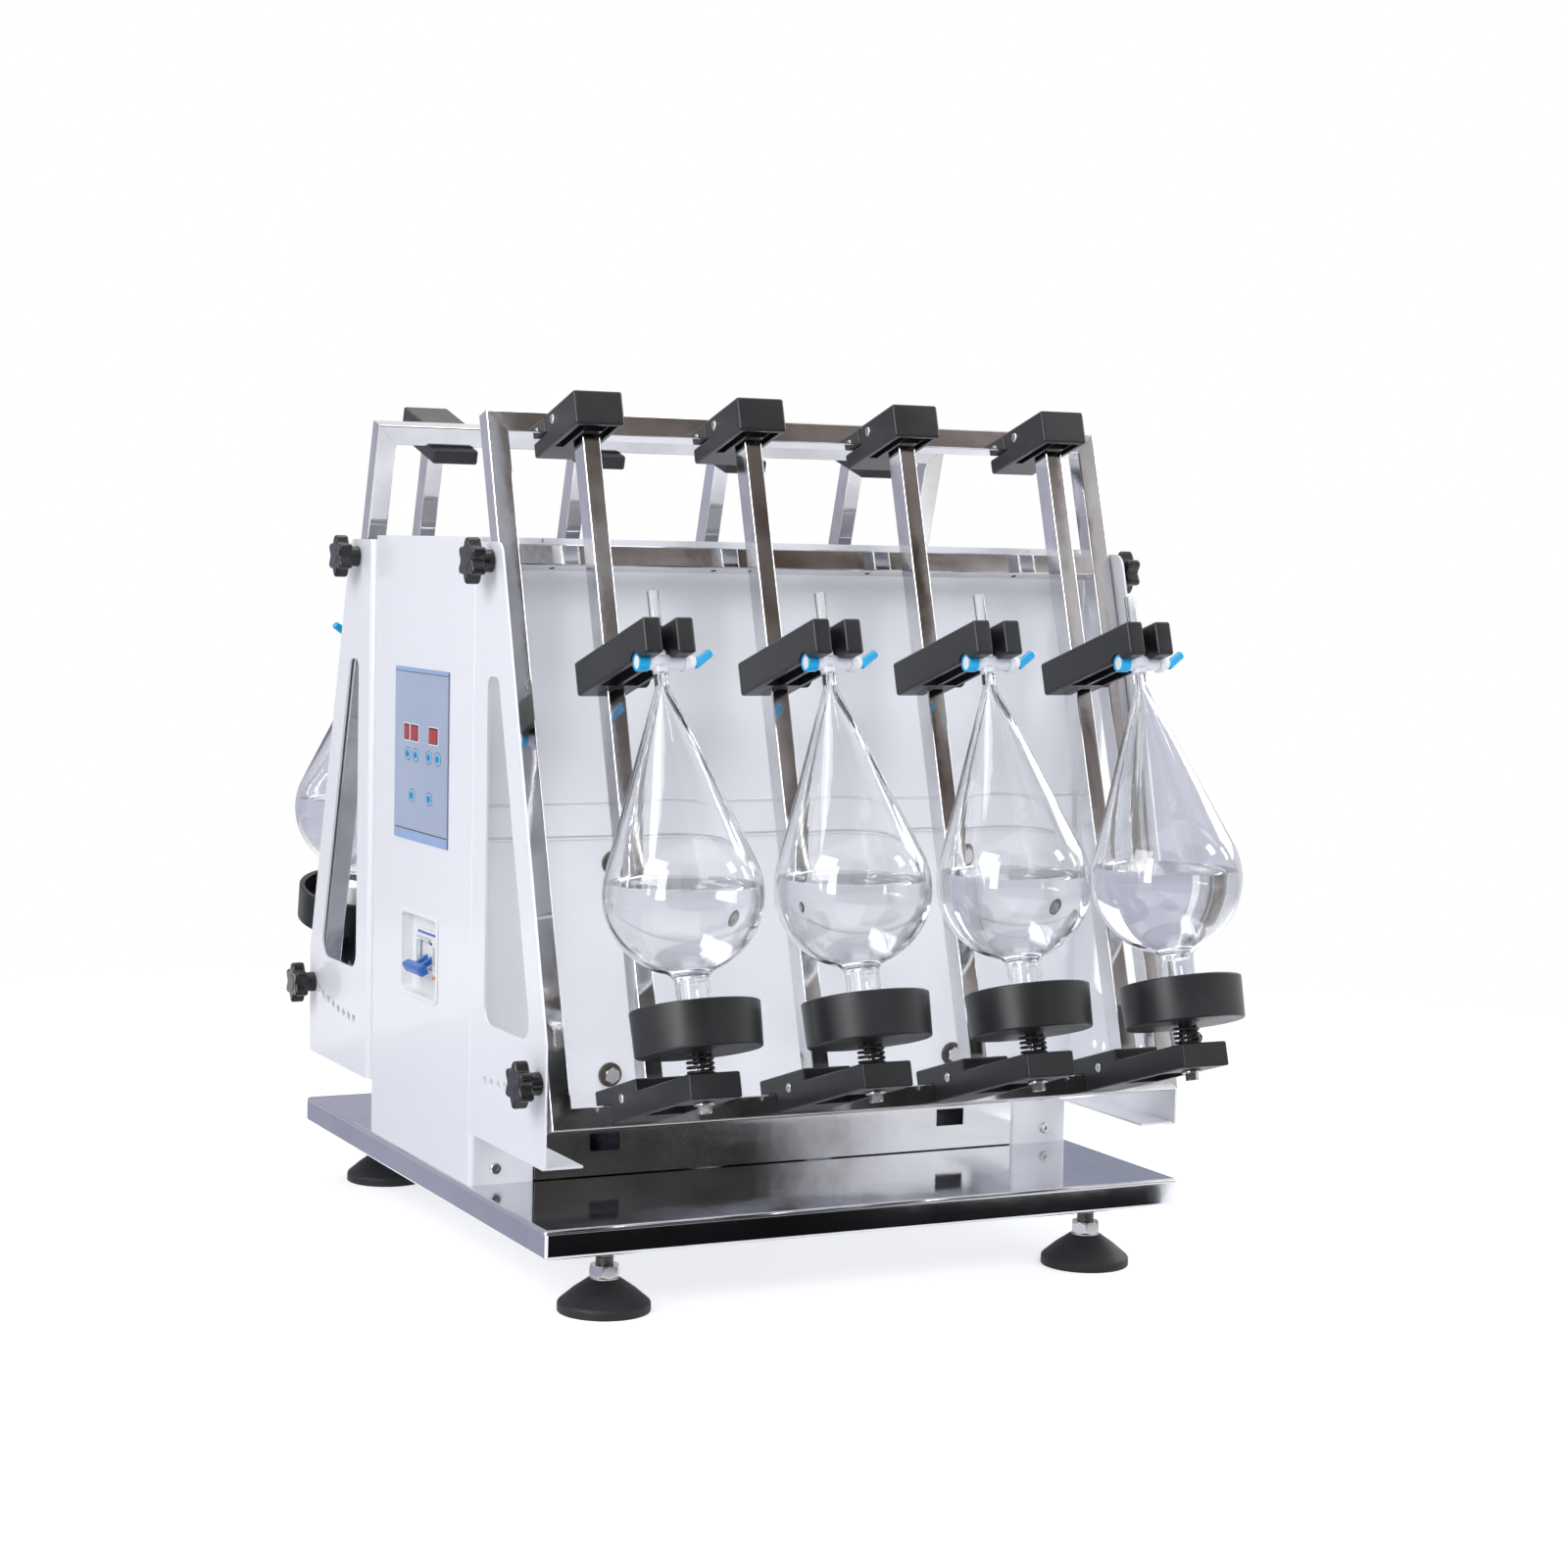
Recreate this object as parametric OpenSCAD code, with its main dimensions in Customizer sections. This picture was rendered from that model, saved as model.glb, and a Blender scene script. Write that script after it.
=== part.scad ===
// Separatory funnel shaker
// A white tower on a polished base lifts and drops a carriage that carries two tilting racks.
// Each rack holds four glass funnels between a clamp block and a sprung cup.
// X runs along the racks, Y from the front rack to the rear rack, Z up from the floor.
// A place on a rack is given as u along the rack, s up the rack and n outward from its front face.

/* [Base] */
// Length of the base plate
base_length = 620; // [580:5:700]
// Width of the base plate
base_width = 660; // [620:5:740]
// Height of the folded edge of the base plate
base_thickness = 25; // [18:1:40]
// Sheet of the base plate
base_sheet = 2.5; // [1.5:0.5:4]
// Height of the base plate above the floor
foot_height = 57; // [50:1:75]
// Diameter of a foot pad
foot_diameter = 80; // [60:2:100]
// Distance of a foot from the short edge of the base
foot_inset_x = 72; // [50:1:110]
// Distance of a foot from the long edge of the base
foot_inset_y = 43; // [42:1:90]
// Diameter of the threaded foot stud
stud_diameter = 16; // [10:1:20]
// Hexagon nut on the stud, across flats
nut_flats = 24; // [18:1:30]
// Height of the nut on the stud
nut_height = 12; // [10:1:14]
// Height of the upright rim of a foot pad
foot_rim = 8; // [4:1:10]
// Height of the cone of a foot pad
foot_cone = 20; // [16:1:28]

/* [Tower] */
// Length of the tower over both columns
tower_length = 612; // [590:2:616]
// Width of the tower
tower_width = 276; // [240:2:290]
// Height of the column tops above the floor
column_top = 652; // [640:1:680]
// Depth of one column along the racks
column_depth = 62; // [50:1:80]
// Sheet of the columns
column_sheet = 2; // [1:0.5:3]
// Outside radius of a column's upright bends
column_bend = 5; // [3:0.5:9]
// Height of the stainless cover between the column feet
plinth_height = 50; // [40:1:52]
// Sheet of the plinth and of the top cover
cover_sheet = 2; // [1:0.5:3]
// Depth of the skirt of the top cover
bridge_skirt = 22; // [10:1:30]
// Width of a square hole in the plinth
plinth_hole = 29; // [15:1:40]
// Distance of the plinth holes from the middle
plinth_hole_x = 177; // [150:1:200]

/* [Controls] */
// Width of the membrane panel
film_width = 148; // [120:2:180]
// Height of the membrane panel
film_height = 159; // [120:1:180]
// Height of the middle of the membrane panel
film_z = 452; // [440:1:500]
// Thickness of the membrane panel
film_thickness = 0.8; // [0.5:0.1:2]
// Width of the breaker opening
breaker_width = 98; // [84:1:120]
// Height of the breaker opening
breaker_height = 76; // [66:1:100]
// Height of the middle of the breaker opening
breaker_z = 269; // [250:1:290]
// Depth of the breaker recess
breaker_depth = 10; // [8:1:20]
// Width of the tied breaker toggle
toggle_width = 46; // [36:1:50]
// Width of the breaker itself
module_width = 54; // [50:1:60]
// Height of the breaker itself behind the wall
module_height = 84; // [70:1:90]
// Depth of the breaker itself behind the recess
module_depth = 34; // [28:1:40]
// Height of the breaker's front
module_front = 45; // [42:1:48]

/* [Drive] */
// Full stroke of the carriage
stroke = 40; // [20:2:40]
// Diameter of a guide rod
rod_diameter = 25; // [16:1:30]
// Distance of a guide rod from the middle
rod_x = 175; // [170:1:185]
// Radial running clearance of the guide bearings and pins
running_clearance = 0.05; // [0.02:0.01:0.1]
// Height of the crank axis above the plinth
crank_height = 63; // [60:1:75]
// Length of the connecting rod between its eyes
link_length = 150; // [140:1:170]
// Diameter of the crank pin and of the wrist pin
pin_diameter = 16; // [10:1:20]
// Axial gap where the linkage is opened at the crank pin
pin_gap = 0.5; // [0.4:0.1:1]
// Height of the lower bolts of the carriage
bolt_low_z = 174.5; // [174:0.5:190]
// Height of the upper bolts of the carriage
bolt_high_z = 365; // [355:1:390]
// Width of a cross bar
cross_width = 60; // [50:1:70]
// Height of a cross bar
cross_height = 36; // [30:1:40]
// Distance of the gearbox from the middle
gearbox_y = 24; // [22:1:26]
// Width of the gearbox
gearbox_width = 90; // [80:1:100]
// Depth of the gearbox
gearbox_depth = 52; // [46:1:54]
// Height of the gearbox above the crank axis
gearbox_rise = 45; // [40:1:50]
// Diameter of the motor case
motor_diameter = 86; // [70:1:90]
// Length of the motor case
motor_length = 54; // [40:1:56]
// Length of the motor's foot
motor_foot = 120; // [110:1:130]
// Diameter of the crank shaft
shaft_diameter = 20; // [16:1:24]
// Length of the crank shaft
shaft_length = 38; // [30:1:40]
// Thickness of the crank disc
crank_disc = 12; // [10:1:14]
// Thickness of the connecting rod
link_thickness = 15; // [12:1:16]
// Width of the connecting rod
link_width = 20; // [16:1:24]

/* [Carriage] */
// Sheet of the carriage shells
shell_sheet = 2; // [1:0.5:3]
// Gap between the tower and a shell
shell_gap = 2; // [1:0.5:4]
// Distance of the wings beyond the column ends
wing_offset = 3; // [2:0.5:5]
// Outside radius of the bend between panel and wing
wing_bend = 6; // [4:0.5:10]
// Height of the lower edge of a shell
shell_bottom = 131; // [125:1:140]
// Height of the upper edge of a shell
shell_top = 648; // [645:1:660]
// Reach of a wing from the middle at its foot
wing_foot = 324; // [318:1:330]
// Reach of a wing from the middle at its top
wing_head = 205; // [200:1:215]
// Height where a wing starts to lean in
wing_knee = 236; // [225:1:260]
// Width of the inward flange under a wing
wing_flange = 36; // [20:1:45]
// Height of the lower edge of the cross band
band_z = 390; // [385:1:420]
// Height of the cross band
band_height = 27; // [15:1:40]
// Diameter of the wing holes
wing_hole = 8.5; // [8.5:0.1:10]
// Number of tilt holes in a wing
tilt_holes = 9; // [5:1:10]

/* [Knobs] */
// Diameter over the lobes of a star knob
knob_diameter = 40; // [30:1:46]
// Diameter of the knob hub
knob_hub = 20; // [14:1:24]
// Length of the knob hub
knob_hub_length = 11; // [8:1:16]
// Thickness of the lobed head
knob_head = 13; // [8:1:18]
// Diameter of the knob stud
knob_stud = 7.8; // [6:0.1:7.8]

/* [Rack] */
// Outside width of a rack
rack_width = 610; // [580:1:612]
// Outside length of a rack
rack_length = 622; // [610:1:640]
// Square tube of the rack
rack_tube = 19; // [16:0.5:22]
// Wall of the square tube
rack_wall = 1.5; // [1:0.1:3]
// Tilt of a rack from upright
rack_tilt = 16.7; // [14:0.1:17]
// Reach of the rack pivot from the middle
pivot_y = 182.3; // [180:0.1:186]
// Height of the rack pivot
pivot_z = 631.4; // [628:0.1:634]
// Place of the pivot up the rack
pivot_s = 489.5; // [486:0.5:495]
// Place of the lock hole up the rack
lock_s = 41.5; // [40:0.5:46]
// Place of the lower face of the middle rail
rail_s = 484; // [480:1:486]
// Spacing of the stations
station_pitch = 153; // [148:1:156]

/* [Station] */
// Width of a station bar
bar_width = 16; // [12:1:20]
// Depth of a station bar
bar_depth = 22; // [16:1:24]
// Front face of a bar outward from the rack
bar_front = 46; // [44:1:50]
// Wall of a bar
bar_wall = 2; // [1:0.5:3]
// Clearance of a clamp block on its bar
bar_clearance = 0.2; // [0.1:0.05:0.4]
// Width of a block
block_width = 45; // [40:1:50]
// Front of the lower and clamp blocks outward from the rack
block_front = 165; // [160:1:175]
// Front of the upper blocks outward from the rack
top_front = 69; // [60:1:80]
// Lower face of a clamp block up the rack
clamp_s = 364.5; // [362:0.5:368]
// Height of a clamp block
clamp_height = 30; // [26:1:36]
// Funnel axis outward from the rack
axis_n = 139.5; // [138:0.5:141]
// Diameter of a cup
cup_diameter = 106; // [96:1:116]
// Height of a cup
cup_height = 37.5; // [30:0.5:45]
// Wall of a cup
cup_wall = 6; // [4:0.5:9]
// Lower face of a cup up the rack
cup_s = 42.5; // [41:0.5:46]
// Spring travel of a cup
cup_travel = 8; // [4:0.5:8]
// Outside diameter of a cup spring
spring_diameter = 23; // [19:0.5:26]
// Wire of a cup spring
spring_wire = 2.4; // [1.8:0.1:2.6]
// Curls of a cup spring
spring_curls = 4; // [3:1:4]

/* [Funnel] */
// Outside diameter of the funnel bulb
bulb_diameter = 131; // [110:1:136]
// Place of the bulb's middle up the rack
bulb_s = 170; // [166:1:174]
// Half angle of the funnel's cone
cone_angle = 20.4; // [19:0.1:22]
// Glass wall
glass_wall = 2.5; // [1.5:0.1:3.5]
// Outside diameter of the funnel's mouth
mouth_diameter = 28.4; // [24:0.2:32]
// Outside diameter of the stem
stem_diameter = 9.6; // [8:0.2:10.4]
// Upper end of the stem up the rack
stem_s = 423; // [410:1:440]
// Axis of the stopcock up the rack
cock_s = 362.8; // [361:0.2:364]
// Diameter of the stopcock barrel
barrel_diameter = 13; // [11:0.2:14]
// Diameter of the stopcock plug
plug_diameter = 7.2; // [5:0.2:8]
// Diameter of the stopcock cap
cap_diameter = 15.6; // [12:0.2:15.8]

/* [Hidden] */
$fn = 48;
cut = 1;
base_top = foot_height + base_thickness;
plinth_top = base_top + plinth_height;
tower_x = tower_length / 2;
tower_y = tower_width / 2;
inner_x = tower_x - column_depth;
panel_in = tower_y + shell_gap;
panel_out = panel_in + shell_sheet;
wing_x = tower_x + wing_offset;
half_tube = rack_tube / 2;
crank_radius = stroke / 2;
crank_z = plinth_top + crank_height;
wrist_z = crank_z + sqrt(link_length * link_length - crank_radius * crank_radius);
link_lean = asin(crank_radius / link_length);
lock_reach = pivot_s - lock_s;
bar_back = bar_front - bar_depth;
arm_top = 24;
arm_bottom = 3;
block_rear = -31;
cone_slope = tan(cone_angle);
bulb_r = bulb_diameter / 2;
neck_s = bulb_s + (bulb_r / cos(cone_angle) - barrel_diameter / 2 + 0.5) / cone_slope;
mouth_s = 58;
stopper_s = cup_s + 6.9;
groove_r = cap_diameter / 2 + 0.6;

// Points of a polygon whose corners are rounded, each by its own radius
function corner_arc(a, b, c, r, n = 6) =
    let (ab = (a - b) / norm(a - b),
         cb = (c - b) / norm(c - b),
         half = acos(ab * cb) / 2,
         mid = (ab + cb) / norm(ab + cb),
         centre = b + mid * r / sin(half),
         p = b + ab * r / tan(half),
         q = b + cb * r / tan(half),
         p_turn = atan2(p[1] - centre[1], p[0] - centre[0]),
         q_turn = atan2(q[1] - centre[1], q[0] - centre[0]),
         raw = q_turn - p_turn,
         turn = raw > 180 ? raw - 360 : raw < -180 ? raw + 360 : raw)
    [for (i = [0 : n]) centre + r * [cos(p_turn + turn * i / n), sin(p_turn + turn * i / n)]];
function rounded(points, radii) =
    let (count = len(points))
    [for (k = [0 : count - 1])
        each (radii[k] == 0 ? [points[k]]
              : corner_arc(points[(k + count - 1) % count], points[k], points[(k + 1) % count], radii[k]))];

// Places
module on_front_rack() {
    translate([0, -pivot_y, pivot_z])
        rotate([-rack_tilt, 0, 0])
            translate([0, -half_tube, -pivot_s])
                children();
}
module on_rear_rack() {
    rotate([0, 0, 180])
        on_front_rack()
            children();
}
module at_station(i) {
    if (i <= 4)
        on_front_rack()
            translate([(i - 2.5) * station_pitch, 0, 0])
                children();
    else
        on_rear_rack()
            translate([(i - 6.5) * station_pitch, 0, 0])
                children();
}
module each_station() {
    for (i = [1 : 4])
        translate([(i - 2.5) * station_pitch, 0, 0])
            children();
}
module each_foot() {
    for (x = [-1, 1], y = [-1, 1])
        translate([x * (base_length / 2 - foot_inset_x), y * (base_width / 2 - foot_inset_y), 0])
            children();
}
module each_bolt() {
    for (x = [-1, 1], z = [bolt_low_z, bolt_high_z])
        translate([x * rod_x, 0, z])
            children();
}
// A solid drawn in the n and s plane and given a width along u
module across(width) {
    translate([-width / 2, 0, 0])
        rotate([90, 0, 90])
            linear_extrude(width)
                mirror([1, 0])
                    children();
}
// A box given by its limits along u, n and s
module box_uns(u0, u1, n0, n1, s0, s1) {
    translate([u0, -n1, s0])
        cube([u1 - u0, n1 - n0, s1 - s0]);
}
// An upright round piece at n, between two places up the rack
module post(n, radius, s0, s1) {
    translate([0, -n, s0])
        cylinder(r = radius, h = s1 - s0);
}
// A round piece along u at n and s
module cross_pin(n, s, radius, u0, u1) {
    translate([u0, -n, s])
        rotate([0, 90, 0])
            cylinder(r = radius, h = u1 - u0);
}
module rounded_plan(x, y, r) {
    square([x - 2 * r, y], center = true);
    square([x, y - 2 * r], center = true);
    for (a = [-1, 1], b = [-1, 1])
        translate([a * (x / 2 - r), b * (y / 2 - r)])
            circle(r);
}

// Base
module base_plate() {
    color("#c9ccd6")
    difference() {
        translate([-base_length / 2, -base_width / 2, foot_height])
            cube([base_length, base_width, base_thickness]);
        translate([-base_length / 2 + base_sheet, -base_width / 2 + base_sheet, foot_height - cut])
            cube([base_length - 2 * base_sheet, base_width - 2 * base_sheet, base_thickness - base_sheet + cut]);
    }
}
module foot_pads() {
    color("#17181a")
    each_foot()
        difference() {
            union() {
                cylinder(d = foot_diameter, h = foot_rim);
                translate([0, 0, foot_rim])
                    cylinder(d1 = foot_diameter, d2 = stud_diameter + 12, h = foot_cone);
            }
            translate([0, 0, 2 * foot_rim])
                cylinder(d = stud_diameter + 0.2, h = foot_cone);
        }
}
module foot_studs() {
    color("#9a9ca3")
    each_foot() {
        translate([0, 0, 2 * foot_rim + 0.1])
            cylinder(d = stud_diameter, h = base_top - base_sheet - 2 * foot_rim - 0.1);
        translate([0, 0, foot_rim + foot_cone])
            cylinder(d = nut_flats / cos(30), h = nut_height, $fn = 6);
    }
}

// Tower
module plinth_cover() {
    color("#c9ccd6")
    difference() {
        translate([-inner_x, -tower_y, base_top])
            cube([2 * inner_x, tower_width, plinth_height]);
        translate([-inner_x - cut, -tower_y + cover_sheet, base_top - cut])
            cube([2 * inner_x + 2 * cut, tower_width - 2 * cover_sheet, plinth_height - cover_sheet + cut]);
        for (x = [-1, 1], y = [-1, 1])
            translate([x * plinth_hole_x - plinth_hole / 2, y * (tower_y - cover_sheet / 2) - cover_sheet, base_top + 23])
                cube([plinth_hole, 2 * cover_sheet, 16]);
        for (x = [-1, 1])
            translate([x * rod_x, 0, plinth_top - cover_sheet - cut])
                cylinder(d = rod_diameter + 1, h = cover_sheet + 2 * cut);
    }
}
module column_shell() {
    difference() {
        translate([tower_x - column_depth / 2, 0, base_top])
            linear_extrude(column_top - base_top)
                rounded_plan(column_depth, tower_width, column_bend);
        translate([tower_x - column_depth / 2, 0, base_top - cut])
            linear_extrude(column_top - base_top - column_sheet + cut)
                rounded_plan(column_depth - 2 * column_sheet, tower_width - 2 * column_sheet,
                             column_bend - column_sheet);
    }
}
module left_column() {
    color("#eef0f5")
    difference() {
        rotate([0, 0, 180])
            column_shell();
        translate([-tower_x - cut, -breaker_width / 2, breaker_z - breaker_height / 2])
            cube([column_sheet + 2 * cut, breaker_width, breaker_height]);
    }
}
module right_column() {
    color("#eef0f5")
    column_shell();
}
module top_cover() {
    color("#c9ccd6")
    difference() {
        translate([-inner_x, -tower_y, column_top - bridge_skirt])
            cube([2 * inner_x, tower_width, bridge_skirt]);
        translate([-inner_x - cut, -tower_y + cover_sheet, column_top - bridge_skirt - cut])
            cube([2 * inner_x + 2 * cut, tower_width - 2 * cover_sheet, bridge_skirt - cover_sheet + cut]);
    }
}

// Controls on the left column
module control_panel() {
    color("#8f9bc4")
    translate([-tower_x - film_thickness, -film_width / 2, film_z - film_height / 2])
        cube([film_thickness, film_width, film_height]);
}
module breaker() {
    face_x = -tower_x + breaker_depth - 2;
    color("#f4f4f2")
    difference() {
        union() {
            translate([-tower_x - 1.5, -breaker_width / 2 - 2, breaker_z - breaker_height / 2 - 2])
                cube([1.5, breaker_width + 4, breaker_height + 4]);
            translate([-tower_x, -breaker_width / 2 + 0.2, breaker_z - breaker_height / 2 + 0.2])
                cube([breaker_depth + 2, breaker_width - 0.4, breaker_height - 0.4]);
            translate([-tower_x + breaker_depth, -module_width / 2, breaker_z - module_height / 2])
                cube([module_depth, module_width, module_height]);
        }
        translate([-tower_x - 1.5 - cut, -breaker_width / 2 + 2, breaker_z - breaker_height / 2 + 2])
            cube([breaker_depth + 1.5 + cut, breaker_width - 4, breaker_height - 4]);
        translate([-tower_x + breaker_depth - cut, -toggle_width / 2 + 5, breaker_z - 13])
            cube([19, toggle_width - 10, 26]);
        translate([-tower_x + breaker_depth + 6, -toggle_width / 2, breaker_z])
            rotate([-90, 0, 0])
                cylinder(r = 2 + running_clearance, h = toggle_width);
    }
    color("#f4f4f2")
    difference() {
        translate([face_x, -module_width / 2, breaker_z - module_front / 2])
            cube([2, module_width, module_front]);
        translate([face_x - cut, -toggle_width / 2 + 5, breaker_z - 13])
            cube([2 + 2 * cut, toggle_width - 10, 26]);
    }
}
module breaker_toggle() {
    color("#2f6fd0")
    translate([-tower_x + breaker_depth + 6, 0, breaker_z]) {
        translate([0, -toggle_width / 2 + 0.5, 0])
            rotate([-90, 0, 0])
                cylinder(r = 2, h = toggle_width - 1);
        translate([0, -toggle_width / 2 + 5.5, 0])
            rotate([-90, 0, 0])
                cylinder(r = 6, h = toggle_width - 11);
        rotate([0, -30, 0]) {
            for (y = [-1, 1])
                translate([-19, y * 8 - 3, -2.5])
                    cube([18, 6, 5]);
            translate([-27, -toggle_width / 2, -4])
                cube([8, toggle_width, 8]);
        }
    }
}

// Drive inside the tower
module motor() {
    color("#6b7078")
    difference() {
        union() {
            translate([-gearbox_width / 2, gearbox_y, plinth_top])
                cube([gearbox_width, gearbox_depth, crank_height + gearbox_rise]);
            translate([0, gearbox_y + gearbox_depth, crank_z])
                rotate([-90, 0, 0])
                    cylinder(d = motor_diameter, h = motor_length);
            translate([-motor_foot / 2, gearbox_y + 6, plinth_top])
                cube([motor_foot, gearbox_depth - 12, 8]);
        }
        translate([0, gearbox_y - cut, crank_z])
            rotate([-90, 0, 0])
                cylinder(r = shaft_diameter / 2 + running_clearance, h = shaft_length - 3 + cut);
    }
}
module guide_rods() {
    color("#d5d8de")
    for (x = [-1, 1])
        translate([x * rod_x, 0, base_top])
            cylinder(d = rod_diameter, h = column_top - cover_sheet - base_top);
}
module crank() {
    color("#a7abb3")
    translate([0, 0, crank_z])
        rotate([-90, 0, 0]) {
            translate([0, 0, 6])
                cylinder(r = crank_radius + pin_diameter, h = crank_disc);
            translate([0, 0, 6 + crank_disc])
                cylinder(d = shaft_diameter, h = shaft_length);
            translate([crank_radius, 0, pin_gap])
                cylinder(d = pin_diameter, h = 6);
        }
}
module con_rod() {
    color("#8b9099")
    translate([0, 0, wrist_z])
        rotate([90, 0, 0])
            rotate([0, 0, link_lean])
                linear_extrude(link_thickness)
                    difference() {
                        union() {
                            circle(pin_diameter / 2 + link_width / 2);
                            translate([0, -link_length])
                                circle(pin_diameter / 2 + link_width / 2);
                            translate([-link_width / 2, -link_length])
                                square([link_width, link_length]);
                        }
                        circle(pin_diameter / 2 + running_clearance);
                        translate([0, -link_length])
                            circle(pin_diameter / 2 + 0.5);
                    }
}

// Carriage
module shell_side(side) {
    wing = rounded([[-panel_in - wing_bend, shell_bottom], [-wing_foot, shell_bottom],
                    [-wing_foot, wing_knee], [-wing_head, shell_top], [-panel_in - wing_bend, shell_top]],
                   [0, 3, 30, 14, 0]);
    lean = (wing_foot - wing_head) / (shell_top - wing_knee);
    window = rounded([[-177, 233], [-290, 233], [-290 + lean * 300, 533], [-177, 533]],
                     [16, 16, 9, 9]);
    mirror([side < 0 ? 1 : 0, 0, 0]) {
        difference() {
            translate([wing_x - shell_sheet, 0, 0])
                rotate([90, 0, 90])
                    linear_extrude(shell_sheet)
                        difference() {
                            polygon(wing);
                            polygon(window);
                            translate([-pivot_y, pivot_z])
                                circle(d = wing_hole);
                            for (k = [0 : tilt_holes - 1])
                                translate([-pivot_y - lock_reach * sin(rack_tilt * k / (tilt_holes - 1)),
                                           pivot_z - lock_reach * cos(rack_tilt * k / (tilt_holes - 1))])
                                    circle(d = wing_hole);
                        }
        }
        translate([wing_x - wing_bend, -panel_in - wing_bend, shell_bottom])
            intersection() {
                difference() {
                    cylinder(r = wing_bend, h = shell_top - shell_bottom);
                    translate([0, 0, -cut])
                        cylinder(r = wing_bend - shell_sheet, h = shell_top - shell_bottom + 2 * cut);
                }
                cube([wing_bend + cut, wing_bend + cut, shell_top - shell_bottom]);
            }
        translate([wing_x - wing_flange, -wing_foot + 3, shell_bottom])
            cube([wing_flange - shell_sheet / 2, wing_foot - 3 - panel_in - wing_bend, shell_sheet]);
    }
}
module shell() {
    for (side = [-1, 1])
        shell_side(side);
    difference() {
        union() {
            translate([-wing_x + wing_bend, -panel_out, shell_bottom])
                cube([2 * (wing_x - wing_bend), shell_sheet, shell_top - shell_bottom]);
            translate([-wing_x + wing_bend + 4, -panel_out - 2, band_z])
                cube([2 * (wing_x - wing_bend - 4), 3, band_height]);
        }
        each_bolt()
            translate([0, -panel_in + cut, 0])
                rotate([90, 0, 0])
                    cylinder(d = 8.4, h = shell_sheet + 2 * cut);
    }
}
module front_shell() {
    color("#eef0f5")
    shell();
}
module rear_shell() {
    color("#eef0f5")
    rotate([0, 0, 180])
        shell();
}
module cross_bars() {
    color("#b4b8c0")
    difference() {
        union() {
            each_bolt()
                translate([-cross_width / 2, -panel_in, -cross_height / 2])
                    cube([cross_width, 2 * panel_in, cross_height]);
            translate([-rod_x, 1, wrist_z - 20])
                cube([2 * rod_x, 30, bolt_high_z - wrist_z + 20]);
        }
        for (x = [-1, 1])
            translate([x * rod_x, 0, plinth_top])
                cylinder(r = rod_diameter / 2 + running_clearance, h = column_top - plinth_top);
        each_bolt()
            for (y = [0, 180])
                rotate([0, 0, y])
                    translate([0, -panel_in - cut, 0])
                        rotate([-90, 0, 0])
                            cylinder(d = 8.2, h = 20 + cut);
    }
    color("#b4b8c0")
    translate([0, 1.5, wrist_z])
        rotate([90, 0, 0]) {
            cylinder(d = pin_diameter, h = 18);
            translate([0, 0, 17.5])
                cylinder(d = pin_diameter + 8, h = 3);
        }
}
module shell_bolts() {
    color("#4a4c52")
    for (turn = [0, 180])
        rotate([0, 0, turn])
            each_bolt()
                translate([0, -panel_out, 0])
                    rotate([90, 0, 0]) {
                        cylinder(d = 22, h = 2);
                        cylinder(d = 13 / cos(30), h = 7.5, $fn = 6);
                        translate([0, 0, -20])
                            cylinder(d = 8, h = 20.5);
                    }
}

// Star knobs: odd numbers are the pivots, even numbers are the tilt locks
module knob_shape(stud_length) {
    rotate([0, 90, 0]) {
        translate([0, 0, 0.3])
            cylinder(d = knob_hub, h = knob_hub_length);
        translate([0, 0, 0.3 + knob_hub_length - 0.5])
            linear_extrude(knob_head) {
                circle(knob_diameter / 2 - 5);
                for (a = [0 : 60 : 300])
                    rotate(a)
                        translate([knob_diameter / 2 - 6, 0])
                            circle(6);
            }
        translate([0, 0, -stud_length])
            cylinder(d = knob_stud, h = stud_length + 1);
    }
}
module knob(side, rear, lock) {
    reach = lock ? lock_reach * sin(rack_tilt) : 0;
    drop = lock ? lock_reach * cos(rack_tilt) : 0;
    stud = lock ? wing_x - rack_width / 2 - 0.4 : wing_x - rack_width / 2 + rack_tube / 2;
    color("#1d1e21")
    mirror([side < 0 ? 1 : 0, 0, 0])
        mirror([0, rear ? 1 : 0, 0])
            translate([wing_x, -pivot_y - reach, pivot_z - drop])
                knob_shape(stud);
}
module knob_1() { knob(-1, false, false); }
module knob_2() { knob(-1, false, true); }
module knob_3() { knob(1, false, false); }
module knob_4() { knob(1, false, true); }
module knob_5() { knob(-1, true, false); }
module knob_6() { knob(-1, true, true); }
module knob_7() { knob(1, true, false); }
module knob_8() { knob(1, true, true); }

// Racks
module rack_frame() {
    w = rack_wall;
    half = rack_width / 2;
    difference() {
        box_uns(-half, half, -rack_tube, 0, 0, rack_length);
        box_uns(-half + rack_tube, half - rack_tube, -rack_tube - cut, cut, rack_tube, rail_s);
        box_uns(-half + rack_tube, half - rack_tube, -rack_tube - cut, cut,
                rail_s + rack_tube, rack_length - rack_tube);
        for (side = [-1, 1])
            box_uns(side * (half - half_tube) - half_tube + w, side * (half - half_tube) + half_tube - w,
                    -rack_tube + w, -w, w, rack_length - w);
        for (s = [0, rail_s, rack_length - rack_tube])
            box_uns(-half + half_tube, half - half_tube, -rack_tube + w, -w, s + w, s + rack_tube - w);
        for (s = [pivot_s, lock_s])
            cross_pin(-half_tube, s, wing_hole / 2, -half - cut, -half + w + cut);
        for (s = [pivot_s, lock_s])
            cross_pin(-half_tube, s, wing_hole / 2, half - w - cut, half + cut);
        each_station()
            for (x = [-1, 1])
                translate([x * 25, 0, 0])
                    post(-half_tube, 2.6, rail_s - cut, rail_s + w + cut);
    }
}
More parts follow.
